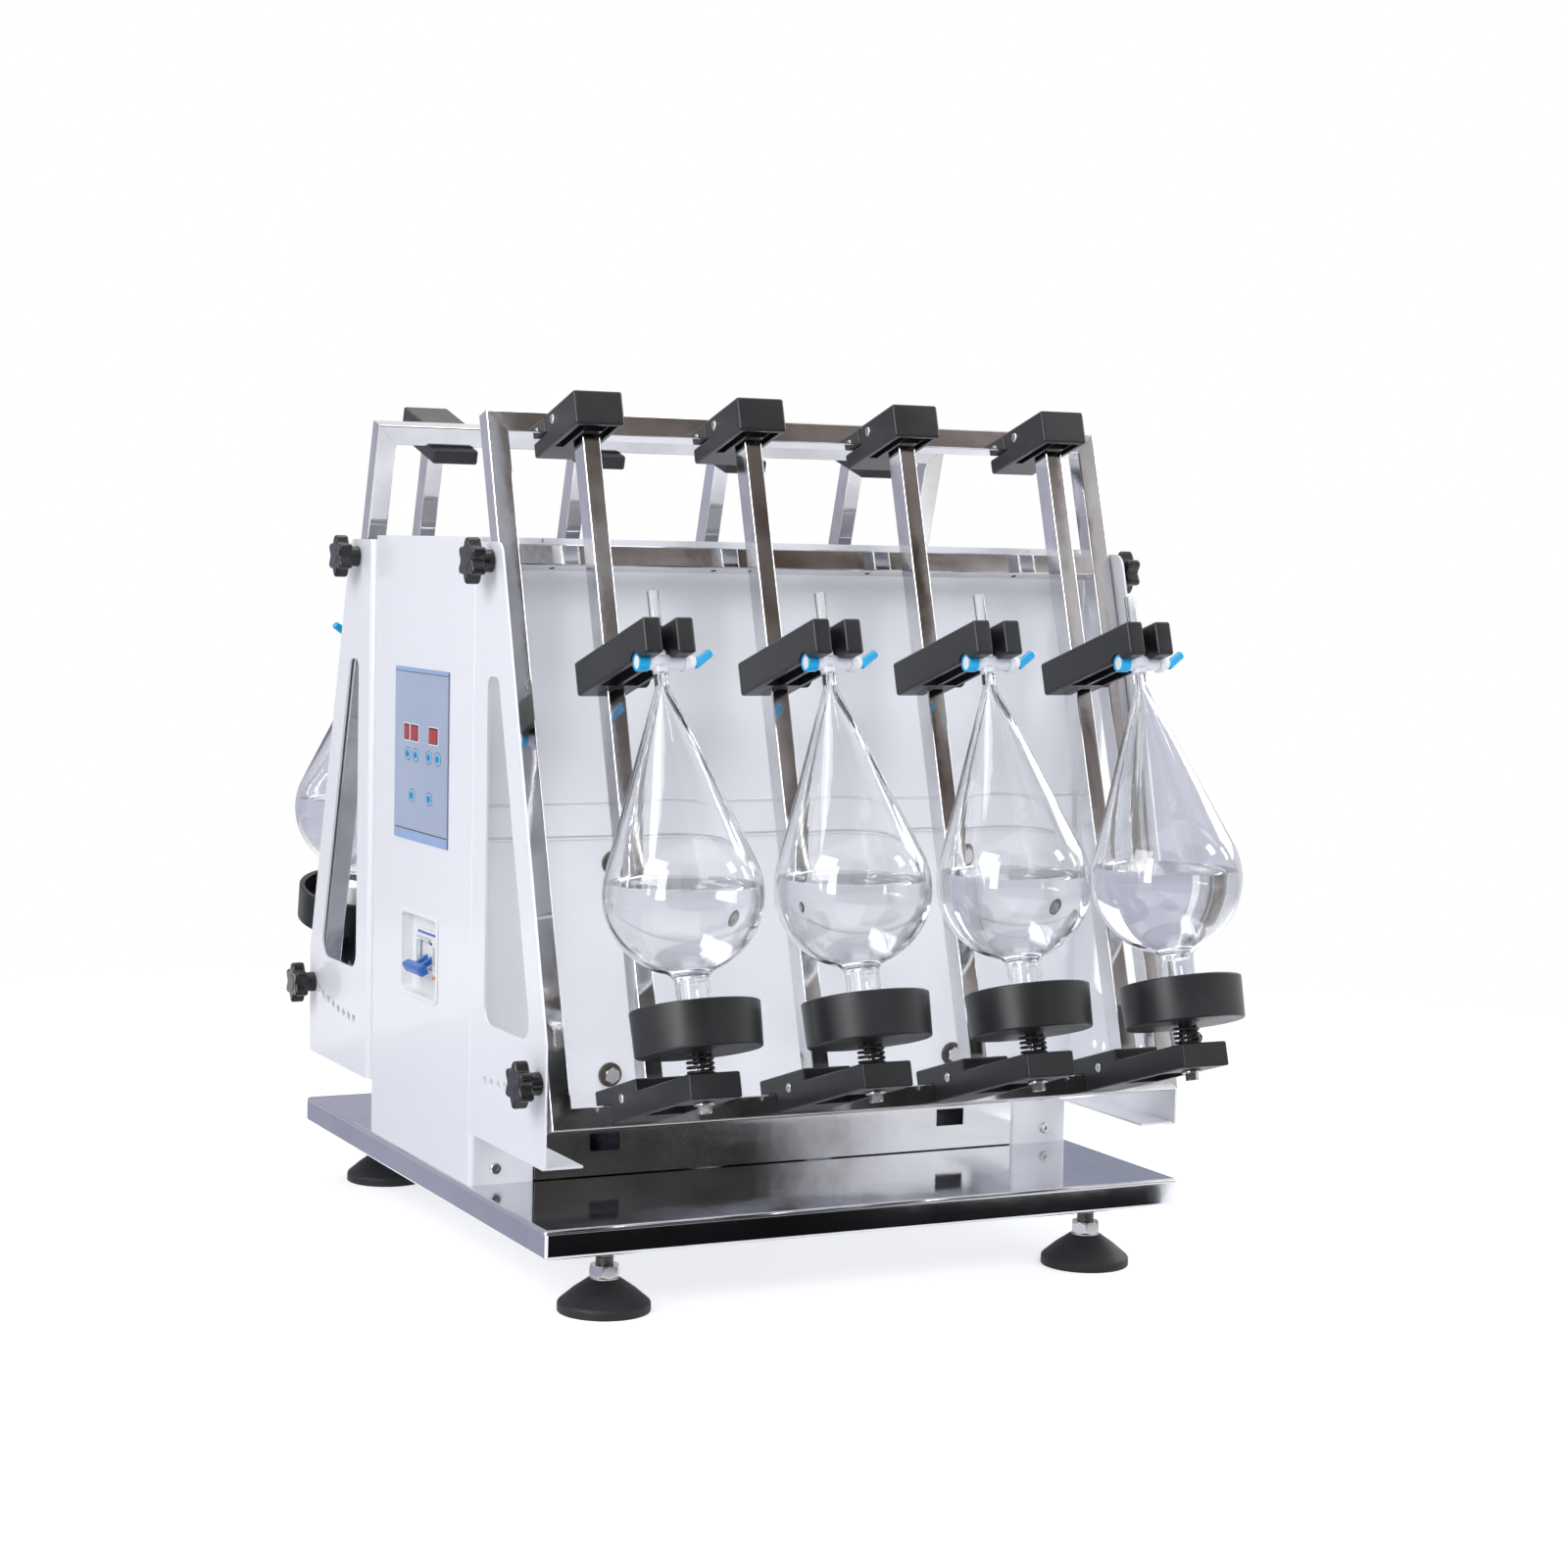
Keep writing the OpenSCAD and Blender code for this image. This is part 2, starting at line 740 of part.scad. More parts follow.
module bars() {
    each_station()
        difference() {
            box_uns(-bar_width / 2, bar_width / 2, bar_back, bar_front, 8, rack_length - 10);
            box_uns(-bar_width / 2 + bar_wall, bar_width / 2 - bar_wall, bar_back + bar_wall,
                    bar_front - bar_wall, 8 - cut, rack_length - 10 + cut);
        }
}
module bottom_block() {
    difference() {
        across(block_width)
            polygon([[block_rear, rack_tube], [block_rear, 34], [bar_front + 11, 34], [bar_front + 11, arm_top],
                     [block_front, arm_top], [block_front, arm_bottom], [0, arm_bottom], [0, rack_tube]]);
        box_uns(-bar_width / 2 - 0.1, bar_width / 2 + 0.1, bar_back - 0.1, bar_front + 0.1, 8, 40);
        box_uns(-block_width / 2 + 5, block_width / 2 - 5, bar_front + 12, axis_n - 16, arm_bottom - cut, 14);
        post(axis_n, 3.4, arm_bottom - cut, arm_top + cut);
    }
}
module top_block() {
    low = rack_length - 33;
    difference() {
        across(block_width)
            polygon([[block_rear, rack_length - rack_tube], [block_rear, low], [top_front, low],
                     [top_front, rack_length - 3], [0, rack_length - 3], [0, rack_length - rack_tube]]);
        box_uns(-bar_width / 2 - 0.1, bar_width / 2 + 0.1, bar_back - 0.1, bar_front + 0.1,
                low - cut, rack_length - 10);
        for (side = [-1, 1])
            box_uns(side * 13.5 - 4, side * 13.5 + 4, 5, top_front - 5, low - cut, rack_length - 12);
        box_uns(-9, 9, bar_front + 4, top_front - 5, low - cut, rack_length - 12);
    }
}
module end_blocks() {
    each_station() {
        bottom_block();
        top_block();
    }
}
module front_rack() {
    color("#c3c7d2")
    on_front_rack()
        rack_frame();
}
module rear_rack() {
    color("#c3c7d2")
    on_rear_rack()
        rack_frame();
}
module front_bars() {
    color("#c3c7d2")
    on_front_rack()
        bars();
}
module rear_bars() {
    color("#c3c7d2")
    on_rear_rack()
        bars();
}
module front_end_blocks() {
    color("#202226")
    on_front_rack()
        end_blocks();
}
module rear_end_blocks() {
    color("#202226")
    on_rear_rack()
        end_blocks();
}

// Clamp blocks that slide on the bars
module clamp_block() {
    top = clamp_s + clamp_height;
    screw_s = clamp_s + 12;
    screw_n = bar_front - bar_depth / 2;
    difference() {
        box_uns(-block_width / 2, block_width / 2, 13, block_front, clamp_s, top);
        box_uns(-bar_width / 2 - bar_clearance, bar_width / 2 + bar_clearance,
                bar_back - bar_clearance, bar_front + bar_clearance, clamp_s - cut, top + cut);
        post(axis_n, 6.4, clamp_s - cut, top + cut);
        box_uns(-6.4, 6.4, axis_n, block_front + cut, clamp_s - cut, top + cut);
        cross_pin(axis_n, cock_s, groove_r, -block_width / 2 - cut, block_width / 2 + cut);
        for (side = [-1, 1])
            box_uns(side * 9.5 - 7.5, side * 9.5 + 7.5, bar_front + 7, axis_n - 14, clamp_s - cut, top - 6);
        cross_pin(screw_n, screw_s, 3.1, bar_width / 2 - cut, block_width / 2 + cut);
    }
    cross_pin(screw_n, screw_s, 3, bar_width / 2 + 0.5, block_width / 2 + 1);
    cross_pin(screw_n, screw_s, 8.5, block_width / 2 + 0.5, block_width / 2 + 12);
}
module clamp(i) {
    color("#202226")
    at_station(i)
        clamp_block();
}
module clamp_1() { clamp(1); }
module clamp_2() { clamp(2); }
module clamp_3() { clamp(3); }
module clamp_4() { clamp(4); }
module clamp_5() { clamp(5); }
module clamp_6() { clamp(6); }
module clamp_7() { clamp(7); }
module clamp_8() { clamp(8); }

// Sprung cups with their guide bolts
module cup_shape() {
    r = cup_diameter / 2;
    translate([0, -axis_n, cup_s])
        rotate_extrude($fn = 72)
            polygon([[0, 0], [r - 1.5, 0], [r, 1.5], [r, cup_height - 1.5], [r - 1.5, cup_height],
                     [r - cup_wall + 1.5, cup_height], [r - cup_wall, cup_height - 1.5],
                     [r - cup_wall, 9], [r - cup_wall - 3, 6], [0, 6]]);
    post(axis_n, 6, cup_s - 9, cup_s + 1);
    post(axis_n, 3, -4, cup_s + 1);
    post(axis_n, spring_diameter / 2, 0.6, arm_bottom - 0.4);
    translate([0, -axis_n, -6])
        cylinder(d = 10 / cos(30), h = 6.8, $fn = 6);
}
module cup(i) {
    color("#202226")
    at_station(i)
        cup_shape();
}
module cup_1() { cup(1); }
module cup_2() { cup(2); }
module cup_3() { cup(3); }
module cup_4() { cup(4); }
module cup_5() { cup(5); }
module cup_6() { cup(6); }
module cup_7() { cup(7); }
module cup_8() { cup(8); }

// Cup springs: one round wire wound up from the lower block to the cup
spring_low = arm_top + 0.1;
spring_high = cup_s - 0.1;
spring_mean = (spring_diameter - spring_wire) / 2;
spring_rise = spring_high - spring_low - spring_wire;
spring_steps = 8 * spring_curls;
function spring_point(k) =
    k == 0 ? [spring_mean, -spring_wire, spring_low + spring_wire / 2]
    : k == spring_steps + 2 ? [spring_mean, spring_wire, spring_high - spring_wire / 2]
    : let (t = (k - 1) / spring_steps)
      [spring_mean * cos(360 * spring_curls * t), spring_mean * sin(360 * spring_curls * t),
       spring_low + spring_wire / 2 + spring_rise * t];
spring_path = [for (k = [0 : spring_steps + 2]) spring_point(k)];
function spring_along(k) =
    let (last = len(spring_path) - 1,
         step = spring_path[min(k + 1, last)] - spring_path[max(k - 1, 0)])
    step / norm(step);
function spring_ring(k) =
    let (along = spring_along(k),
         side = cross(along, [0, 0, 1]) / norm(cross(along, [0, 0, 1])),
         up = cross(side, along))
    [for (a = [0 : 60 : 300]) spring_path[k] + spring_wire / 2 * (side * cos(a) + up * sin(a))];
spring_points = [for (k = [0 : len(spring_path) - 1]) each spring_ring(k)];
spring_last = 6 * (len(spring_path) - 1);
spring_faces = concat(
    [for (a = [1 : 4]) [0, a, a + 1]],
    [for (k = [0 : len(spring_path) - 2], a = [0 : 5]) [6 * k + a, 6 * k + 6 + a, 6 * k + (a + 1) % 6]],
    [for (k = [0 : len(spring_path) - 2], a = [0 : 5])
        [6 * k + (a + 1) % 6, 6 * k + 6 + a, 6 * k + 6 + (a + 1) % 6]],
    [for (a = [1 : 4]) [spring_last, spring_last + a + 1, spring_last + a]]);
spring_gap = min([for (i = [0 : len(spring_path) - 1], j = [0 : len(spring_path) - 1])
    if (j - i > 4) norm(spring_path[i] - spring_path[j]) - spring_wire]);
echo(spring_gap = spring_gap);
module springs() {
    each_station()
        translate([0, -axis_n, 0])
            polyhedron(spring_points, spring_faces);
}
module front_springs() {
    color("#26282c")
    on_front_rack()
        springs();
}
module rear_springs() {
    color("#26282c")
    on_rear_rack()
        springs();
}

// Glass funnels, standing on their mouths, each with its stopper
bulb_low = acos(mouth_diameter / 2 / bulb_r);
bulb_arc = [for (k = [0 : 12]) -bulb_low + (bulb_low + cone_angle) * k / 12];
glass_in_r = bulb_r - glass_wall;
glass_low = acos((mouth_diameter / 2 - glass_wall) / glass_in_r);
glass_arc = [for (k = [0 : 12]) -glass_low + (glass_low + cone_angle) * k / 12];
outer_profile = concat(
    [[mouth_diameter / 2 - glass_wall, mouth_s], [mouth_diameter / 2 + 1.5, mouth_s],
     [mouth_diameter / 2 + 1.5, mouth_s + 4], [mouth_diameter / 2, mouth_s + 6]],
    [for (a = bulb_arc) [bulb_r * cos(a), bulb_s + bulb_r * sin(a)]],
    [[barrel_diameter / 2 - 0.5, neck_s], [barrel_diameter / 2 - 0.5, cock_s],
     [stem_diameter / 2, cock_s + 12], [stem_diameter / 2, stem_s], [2, stem_s]]);
inner_profile = concat(
    [[2, neck_s - 4]],
    [for (k = [0 : 12]) [glass_in_r * cos(glass_arc[12 - k]), bulb_s + glass_in_r * sin(glass_arc[12 - k])]]);
module funnel_glass() {
    difference() {
        union() {
            translate([0, -axis_n, 0])
                rotate_extrude()
                    polygon(concat(outer_profile, inner_profile));
            cross_pin(axis_n, cock_s, barrel_diameter / 2, -11, 24.6);
            cross_pin(axis_n, cock_s, barrel_diameter / 2 + 1.6, 19.5, 24.6);
        }
        cross_pin(axis_n, cock_s, plug_diameter / 2 + running_clearance, -11 - cut, 24.6 + cut);
        post(axis_n, 2, neck_s - 6, stem_s - 30);
    }
}
module stopper() {
    translate([0, -axis_n, 0])
        rotate_extrude()
            polygon([[0, stopper_s], [16, stopper_s], [17, stopper_s + 1], [17, mouth_s - 0.1],
                     [mouth_diameter / 2 - glass_wall - 0.3, mouth_s - 0.1],
                     [mouth_diameter / 2 - glass_wall - 0.6, mouth_s + 26], [0, mouth_s + 26]]);
}
module funnels() {
    each_station() {
        funnel_glass();
        stopper();
    }
}
module front_funnels() {
    color("#dfe6f2", 0.5)
    on_front_rack()
        funnels();
}
module rear_funnels() {
    color("#dfe6f2", 0.5)
    on_rear_rack()
        funnels();
}

// Stopcock plugs with cap and lever
module plug_shape() {
    cross_pin(axis_n, cock_s, plug_diameter / 2, -12, 27);
    cross_pin(axis_n, cock_s, cap_diameter / 2, -21, -11.4);
    cross_pin(axis_n, cock_s, 6, 25, 33);
    translate([28, -axis_n, cock_s - 4])
        rotate([0, 56, 0])
            cylinder(d = 8, h = 22);
}
module stopcock(i) {
    color("#16a6e0")
    at_station(i)
        plug_shape();
}
module stopcock_1() { stopcock(1); }
module stopcock_2() { stopcock(2); }
module stopcock_3() { stopcock(3); }
module stopcock_4() { stopcock(4); }
module stopcock_5() { stopcock(5); }
module stopcock_6() { stopcock(6); }
module stopcock_7() { stopcock(7); }
module stopcock_8() { stopcock(8); }

base_plate();
foot_pads();
foot_studs();
plinth_cover();
left_column();
right_column();
top_cover();
control_panel();
breaker();
breaker_toggle();
motor();
guide_rods();
crank();
con_rod();
front_shell();
rear_shell();
cross_bars();
shell_bolts();
knob_1();
knob_2();
knob_3();
knob_4();
knob_5();
knob_6();
knob_7();
knob_8();
front_rack();
rear_rack();
front_bars();
rear_bars();
front_end_blocks();
rear_end_blocks();
front_springs();
rear_springs();
front_funnels();
rear_funnels();
clamp_1();
clamp_2();
clamp_3();
clamp_4();
clamp_5();
clamp_6();
clamp_7();
clamp_8();
cup_1();
cup_2();
cup_3();
cup_4();
cup_5();
cup_6();
cup_7();
cup_8();
stopcock_1();
stopcock_2();
stopcock_3();
stopcock_4();
stopcock_5();
stopcock_6();
stopcock_7();
stopcock_8();
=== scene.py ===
# %% [markdown]
# # Separatory funnel shaker
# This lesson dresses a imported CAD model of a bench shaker: a white tower on a polished base, and two
# tilting racks of glass funnels that stand upside down in sprung cups. The CAD model is the fixed frame.
# Every piece made here sits where the CAD piece sits, rides on the same moving body, and only adds what
# the solids lack: rounded edges, threads, glass, water and finishes.

# %% Load the frame
import math
import bmesh
import bpy
from mathutils import Matrix, Vector


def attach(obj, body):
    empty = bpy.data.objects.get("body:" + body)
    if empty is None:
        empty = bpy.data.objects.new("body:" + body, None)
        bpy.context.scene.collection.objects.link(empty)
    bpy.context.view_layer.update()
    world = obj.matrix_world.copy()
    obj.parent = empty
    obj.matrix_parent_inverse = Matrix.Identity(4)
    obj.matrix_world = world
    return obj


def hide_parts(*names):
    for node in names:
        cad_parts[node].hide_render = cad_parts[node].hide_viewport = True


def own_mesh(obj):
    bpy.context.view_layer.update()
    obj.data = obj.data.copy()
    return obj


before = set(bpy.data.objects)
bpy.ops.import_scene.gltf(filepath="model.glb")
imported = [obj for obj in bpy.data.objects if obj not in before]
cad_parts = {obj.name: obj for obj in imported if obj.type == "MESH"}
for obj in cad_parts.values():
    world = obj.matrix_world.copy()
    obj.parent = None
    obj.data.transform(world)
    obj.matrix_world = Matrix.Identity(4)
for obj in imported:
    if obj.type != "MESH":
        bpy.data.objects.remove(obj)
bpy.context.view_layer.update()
scene = bpy.context.scene
scene.view_settings.view_transform = "Standard"

# %% [markdown]
# ## Camera
# The photograph was taken from the front left, a little above the racks. The eye, the directions and the
# focal length come from fitting the edges of the base, the tower and the racks, so that the model falls on
# the picture. A camera matrix is written from its three axes because that leaves nothing to guess.

# %% Camera
MM = 0.001
SENSOR, PHOTO_WIDTH, FOCAL_PIXELS = 36.0, 1600, 3114.4
EYE = Vector((-1227.0, -2638.9, 645.6)) * MM


def at(x, y, z):
    return Matrix.Translation((x, y, z))


def linked(name, data):
    obj = bpy.data.objects.new(name, data)
    scene.collection.objects.link(obj)
    return obj


camera_back = Vector((-0.4376, -0.8959, 0.0763)).normalized()
camera_up = camera_back.cross(Vector((0.8991, -0.4373, 0.0208))).normalized()
camera_right = camera_up.cross(camera_back).normalized()
camera_data = bpy.data.cameras.new("photo_camera")
camera_data.sensor_width = SENSOR
camera_data.lens = FOCAL_PIXELS / PHOTO_WIDTH * SENSOR
camera_data.clip_end = 60
scene.camera = linked("photo_camera", camera_data)
axes = Matrix((camera_right, camera_up, camera_back)).transposed().to_4x4()
scene.camera.matrix_world = at(*EYE) @ axes
print("lens", round(camera_data.lens, 2), "mm, eye", [round(v, 3) for v in EYE])

# %% [markdown]
# ## Studio
# Soft light from the left, the right and above, on a white floor under a white sky. The sky is white for
# the camera and for what metal and glass reflect, and weaker as a lamp, so that white paint keeps its
# shade. Polished steel is a mirror: what makes it read as steel is the room in front of it. So dark and
# pale sheets stand and lie round the machine, with bright panes for the windows of the soft boxes. Mirrors
# see them all, except one floor sheet, and glass sees the ones in front. The camera sees none. The light
# and the sheets need many nodes, so one helper places a node, sets it up and feeds its inputs. An input
# takes a value or the output of another node, which becomes a link.

# %% Placing and feeding nodes
def feed(tree, made, inputs):
    for socket, value in inputs.items():
        if isinstance(value, bpy.types.NodeSocket):
            tree.links.new(value, made.inputs[socket])
        else:
            made.inputs[socket].default_value = value


def node(tree, kind, inputs=None, **settings):
    """A new node, set up before it is fed because its settings decide which inputs it has."""
    made = tree.nodes.new(kind)
    for name, value in settings.items():
        setattr(made, name, value)
    feed(tree, made, inputs or {})
    return made


def maths(tree, operation, *values):
    return node(tree, "ShaderNodeMath", dict(enumerate(values)), operation=operation).outputs[0]


def mixed(tree, factor, a, b):
    """A colour between a and b."""
    mix = node(tree, "ShaderNodeMix", {"Factor": factor, "A": (*a, 1), "B": (*b, 1)}, data_type="RGBA")
    return mix.outputs["Result"]


print("node helpers ready")

# %% Sky and lamps
WHITE, SEEN_THROUGH_GLASS = (1, 1, 1), (0.56, 0.57, 0.67)
SKY_LAMP_COLOR, SKY_LAMP_STRENGTH = (0.93, 0.95, 1.0, 1), 0.42
COOL = (0.95, 0.97, 1.0)


def world_light():
    world = bpy.data.worlds.new("studio_sky")
    scene.world = world
    world.use_nodes = True
    tree = world.node_tree
    tree.nodes.clear()
    path = node(tree, "ShaderNodeLightPath").outputs
    through_glass = path["Is Transmission Ray"]
    seen = maths(tree, "MAXIMUM", path["Is Camera Ray"], path["Is Glossy Ray"])
    seen = maths(tree, "MAXIMUM", seen, through_glass)
    lamp = node(tree, "ShaderNodeBackground", {"Color": SKY_LAMP_COLOR, "Strength": SKY_LAMP_STRENGTH})
    sky = node(tree, "ShaderNodeBackground", {"Color": mixed(tree, through_glass, WHITE, SEEN_THROUGH_GLASS)})
    mix = node(tree, "ShaderNodeMixShader", {0: seen, 1: lamp.outputs[0], 2: sky.outputs[0]})
    node(tree, "ShaderNodeOutputWorld", {"Surface": mix.outputs[0]})


def soft_box(name, place, aim, size, watts, color=WHITE, mirrored=True):
    data = bpy.data.lights.new(name, "AREA")
    data.shape = "RECTANGLE"
    data.size, data.size_y = size
    data.energy = watts
    data.color = color
    lamp = linked(name, data)
    lamp.location = place
    lamp.rotation_euler = (Vector(aim) - Vector(place)).to_track_quat("-Z", "Y").to_euler()
    lamp.visible_glossy = mirrored


world_light()
soft_box("left_soft_box", (-2.6, -1.0, 2.0), (0, 0, 0.5), (1.6, 1.8), 56, (0.97, 0.98, 1.0))
soft_box("front_soft_box", (0.5, -3.2, 2.4), (0, 0, 0.35), (1.8, 1.4), 52, COOL)
soft_box("right_soft_box", (2.6, 0.6, 1.6), (0, 0, 0.4), (1.4, 1.6), 30, (0.96, 0.98, 1.0))
soft_box("top_soft_box", (0, 0.3, 3.0), (0, 0, 0.4), (2.0, 2.0), 30)
soft_box("low_fill", (0.5, -2.4, 0.5), (0.1, 0, 0.2), (1.6, 0.7), 4, COOL, mirrored=False)

# %% Floor, screens and panes
FLOOR_COLOR, FLOOR_GLOW, FLOOR_FADE = (0.72, 0.72, 0.73, 1), 0.54, (0.75, 1.9)
FRONT_OF_GLASS = -1.0


def studio_sheet(name, corners):
    mesh = bpy.data.meshes.new(name)
    mesh.from_pydata(corners, [], [tuple(range(len(corners)))])
    material = bpy.data.materials.new(name)
    material.use_nodes = True
    mesh.materials.append(material)
    sheet = linked(name, mesh)
    return sheet, material.node_tree


def smooth_step(tree, value, start, end):
    step = node(tree, "ShaderNodeMapRange", {"Value": value, "From Min": start, "From Max": end},
                interpolation_type="SMOOTHSTEP")
    return step.outputs["Result"]


def upright(x0, y0, x1, y1, low, high):
    return [(x0, y0, low), (x1, y1, low), (x1, y1, high), (x0, y0, high)]


def lying(level, *corners):
    return [(x, y, level) for x, y in corners]


def white_floor():
    """A lit floor near the object that turns into plain white further out."""
    tree = studio_sheet("floor", lying(0, (-12, -12), (12, -12), (12, 12), (-12, 12)))[1]
    shader, out = tree.nodes["Principled BSDF"], tree.nodes["Material Output"]
    path = node(tree, "ShaderNodeLightPath").outputs
    seen = maths(tree, "SUBTRACT", 1.0, path["Is Diffuse Ray"])
    glow = maths(tree, "MULTIPLY", seen, FLOOR_GLOW)
    feed(tree, shader, {"Base Color": FLOOR_COLOR, "Roughness": 0.9, "Specular IOR Level": 0.0,
                        "Emission Color": (*WHITE, 1), "Emission Strength": glow})
    where = node(tree, "ShaderNodeTexCoord").outputs["Object"]
    reach = node(tree, "ShaderNodeVectorMath", {0: where}, operation="LENGTH").outputs["Value"]
    far = maths(tree, "MULTIPLY", smooth_step(tree, reach, *FLOOR_FADE), seen)
    tone = mixed(tree, path["Is Transmission Ray"], WHITE, SEEN_THROUGH_GLASS)
    plain = node(tree, "ShaderNodeEmission", {"Color": tone, "Strength": seen})
    mix = node(tree, "ShaderNodeMixShader", {0: far, 1: shader.outputs[0], 2: plain.outputs[0]})
    tree.links.new(mix.outputs[0], out.inputs["Surface"])


def reflected_sheet(name, corners, dim, bright, patches=0.3, start=0.0, end=1.0, strength=1.0, mirrored=True):
    """A mottled sheet that only mirrors and glass see, dim at its left and bright at its right."""
    sheet, tree = studio_sheet(name, corners)
    tree.nodes.remove(tree.nodes["Principled BSDF"])
    where = node(tree, "ShaderNodeTexCoord").outputs["Object"]
    across = node(tree, "ShaderNodeSeparateXYZ", {0: where}).outputs["X"]
    noise = node(tree, "ShaderNodeTexNoise", {"Vector": where, "Scale": 4.0, "Detail": 3.0}).outputs["Fac"]
    ragged = maths(tree, "MULTIPLY_ADD", noise, patches, across)
    ramp = smooth_step(tree, ragged, start + patches / 2, end + patches / 2)
    glow = node(tree, "ShaderNodeEmission", {"Color": mixed(tree, ramp, dim, bright), "Strength": strength})
    tree.links.new(glow.outputs[0], tree.nodes["Material Output"].inputs["Surface"])
    sheet.visible_camera = sheet.visible_diffuse = sheet.visible_shadow = False
    sheet.visible_glossy = mirrored
    sheet.visible_transmission = not mirrored or max(y for x, y, z in corners) < FRONT_OF_GLASS


def pane(name, turn, reach, width, low, high, strength):
    """A window of a soft box, turned left of the front by some degrees, for reflections only."""
    out = Vector((-math.sin(math.radians(turn)), -math.cos(math.radians(turn)), 0))
    side = Vector((out.y, -out.x, 0)) * width / 2
    a, b = out * reach - side, out * reach + side
    reflected_sheet(name, upright(a.x, a.y, b.x, b.y, low, high), WHITE, WHITE, strength=strength)


white_floor()
reflected_sheet("low_dark_screen", upright(-1.6, -1.7, 1.9, -1.7, 0.0, 0.70),
                (0.045, 0.043, 0.040), (1.15, 1.14, 1.16), 0.6, 0.60, 1.02)
reflected_sheet("high_dark_screen", upright(-0.9, -1.7, 1.9, -1.7, 0.70, 1.95),
                (0.085, 0.062, 0.047), (0.72, 0.70, 0.70), 3.0, 0.60, 1.9)
reflected_sheet("pale_screen", upright(-0.9, -1.66, 0.40, -1.66, 0.95, 1.95),
                (0.24, 0.25, 0.28), (0.46, 0.47, 0.53), 0.9)
reflected_sheet("rail_screen", upright(0.35, -1.68, 1.35, -1.68, 1.68, 2.25),
                (0.10, 0.075, 0.058), (0.26, 0.22, 0.20), 1.4, 0.4, 1.6)
reflected_sheet("tube_screen", upright(-0.16, -1.66, 0.50, -1.66, 0.40, 0.95),
                (0.07, 0.06, 0.055), (0.42, 0.42, 0.45), 2.6, 0.1, 1.6)
reflected_sheet("floor_dark_screen",
                lying(0.001, (-0.22, -0.69), (0.53, -0.69), (0.36, -0.43), (-0.32, -0.43)),
                (0.008, 0.008, 0.009), (0.02, 0.02, 0.022))
reflected_sheet("floor_streak_screen",
                lying(0.001, (-0.11, -0.95), (0.80, -0.95), (0.62, -0.69), (-0.22, -0.69)),
                (0.05, 0.047, 0.043), (1.0, 0.99, 1.0), 0.5, 0.14, 0.50)
reflected_sheet("front_floor_screen", lying(0.0015, (-0.2, -1.6), (0.7, -1.6), (0.5, -0.78), (-0.2, -0.78)),
                (0.14, 0.14, 0.15), (0.30, 0.30, 0.33), 0.9, mirrored=False)
reflected_sheet("left_floor_screen", lying(0.001, (-1.6, -0.6), (-0.34, -0.3), (-0.34, 0.9), (-1.6, 1.9)),
                (0.42, 0.43, 0.54), (0.50, 0.51, 0.62))
reflected_sheet("back_screen", upright(-2.5, 2.2, 3.0, 2.2, 0.0, 1.5),
                (0.50, 0.50, 0.60), (0.33, 0.35, 0.44), 0.8)
pane("left_tall_pane", 52, 2.8, 0.55, 0.3, 2.3, 9.0)
pane("left_narrow_pane", 67, 2.8, 0.24, 0.5, 2.1, 8.0)
pane("right_upper_pane", -54, 2.6, 0.50, 1.6, 2.3, 9.0)
pane("right_lower_pane", -74, 2.6, 0.36, 1.0, 1.6, 8.0)

# %% [markdown]
# ## Shared surface effects
# No surface is one flat value. Two small shader groups are used by every finish. The first gives the fine
# grain that paint and moulded plastic have, as a height for a Bump node. The second gives slow cloudy
# patches, such as handling marks and uneven polish, as a mask for colour and roughness. As groups they
# are written once and placed in each material with its own values.

# %% Shader groups
def new_tree(name, kind, inputs, outputs):
    """A node group with its sockets, what flows into it, and the identifiers of its inputs."""
    tree = bpy.data.node_groups.new(name, kind)
    names = {}
    for label, socket in inputs.items():
        made = tree.interface.new_socket(label, in_out="INPUT", socket_type="NodeSocket" + socket)
        names[label] = made.identifier
    for label, socket in outputs.items():
        tree.interface.new_socket(label, in_out="OUTPUT", socket_type="NodeSocket" + socket)
    return tree, node(tree, "NodeGroupInput").outputs, names


def noise_group(name, output, **values):
    """A shader group round a noise of a given scale. Gives its tree and what the noise puts out."""
    tree, flow, _ = new_tree(name, "ShaderNodeTree", {"Vector": "Vector", "Scale": "Float"},
                             {output: "Float"})
    inputs = {"Vector": flow["Vector"], "Scale": flow["Scale"], **values}
    return tree, node(tree, "ShaderNodeTexNoise", inputs).outputs["Fac"]


def grain_group():
    tree, noise = noise_group("fine_grain", "Height", Detail=3.0)
    node(tree, "NodeGroupOutput", {"Height": noise})
    return tree


def clouds_group():
    tree, noise = noise_group("handling_clouds", "Mask", Detail=4.0, Roughness=0.55)
    spread = node(tree, "ShaderNodeMapRange", {"Value": noise, "From Min": 0.32, "From Max": 0.68})
    node(tree, "NodeGroupOutput", {"Mask": spread.outputs["Result"]})
    return tree


GRAIN, CLOUDS = grain_group(), clouds_group()
print("shader groups", GRAIN.name, CLOUDS.name)

# %% [markdown]
# ## Finishes
# Each finish is one material. A single builder places the two groups around a Principled shader: the
# clouds mix two near colours and move the roughness between two values, and the grain drives a faint
# bump. What is the same all over, such as metallic, coat or transmission, is set on the shader itself,
# because a game or web viewer can only read it there. Each range of roughness stays on one side of about
# 0.27: the denoiser's guide picture steps there, and a range across it shows as patches with crisp edges.

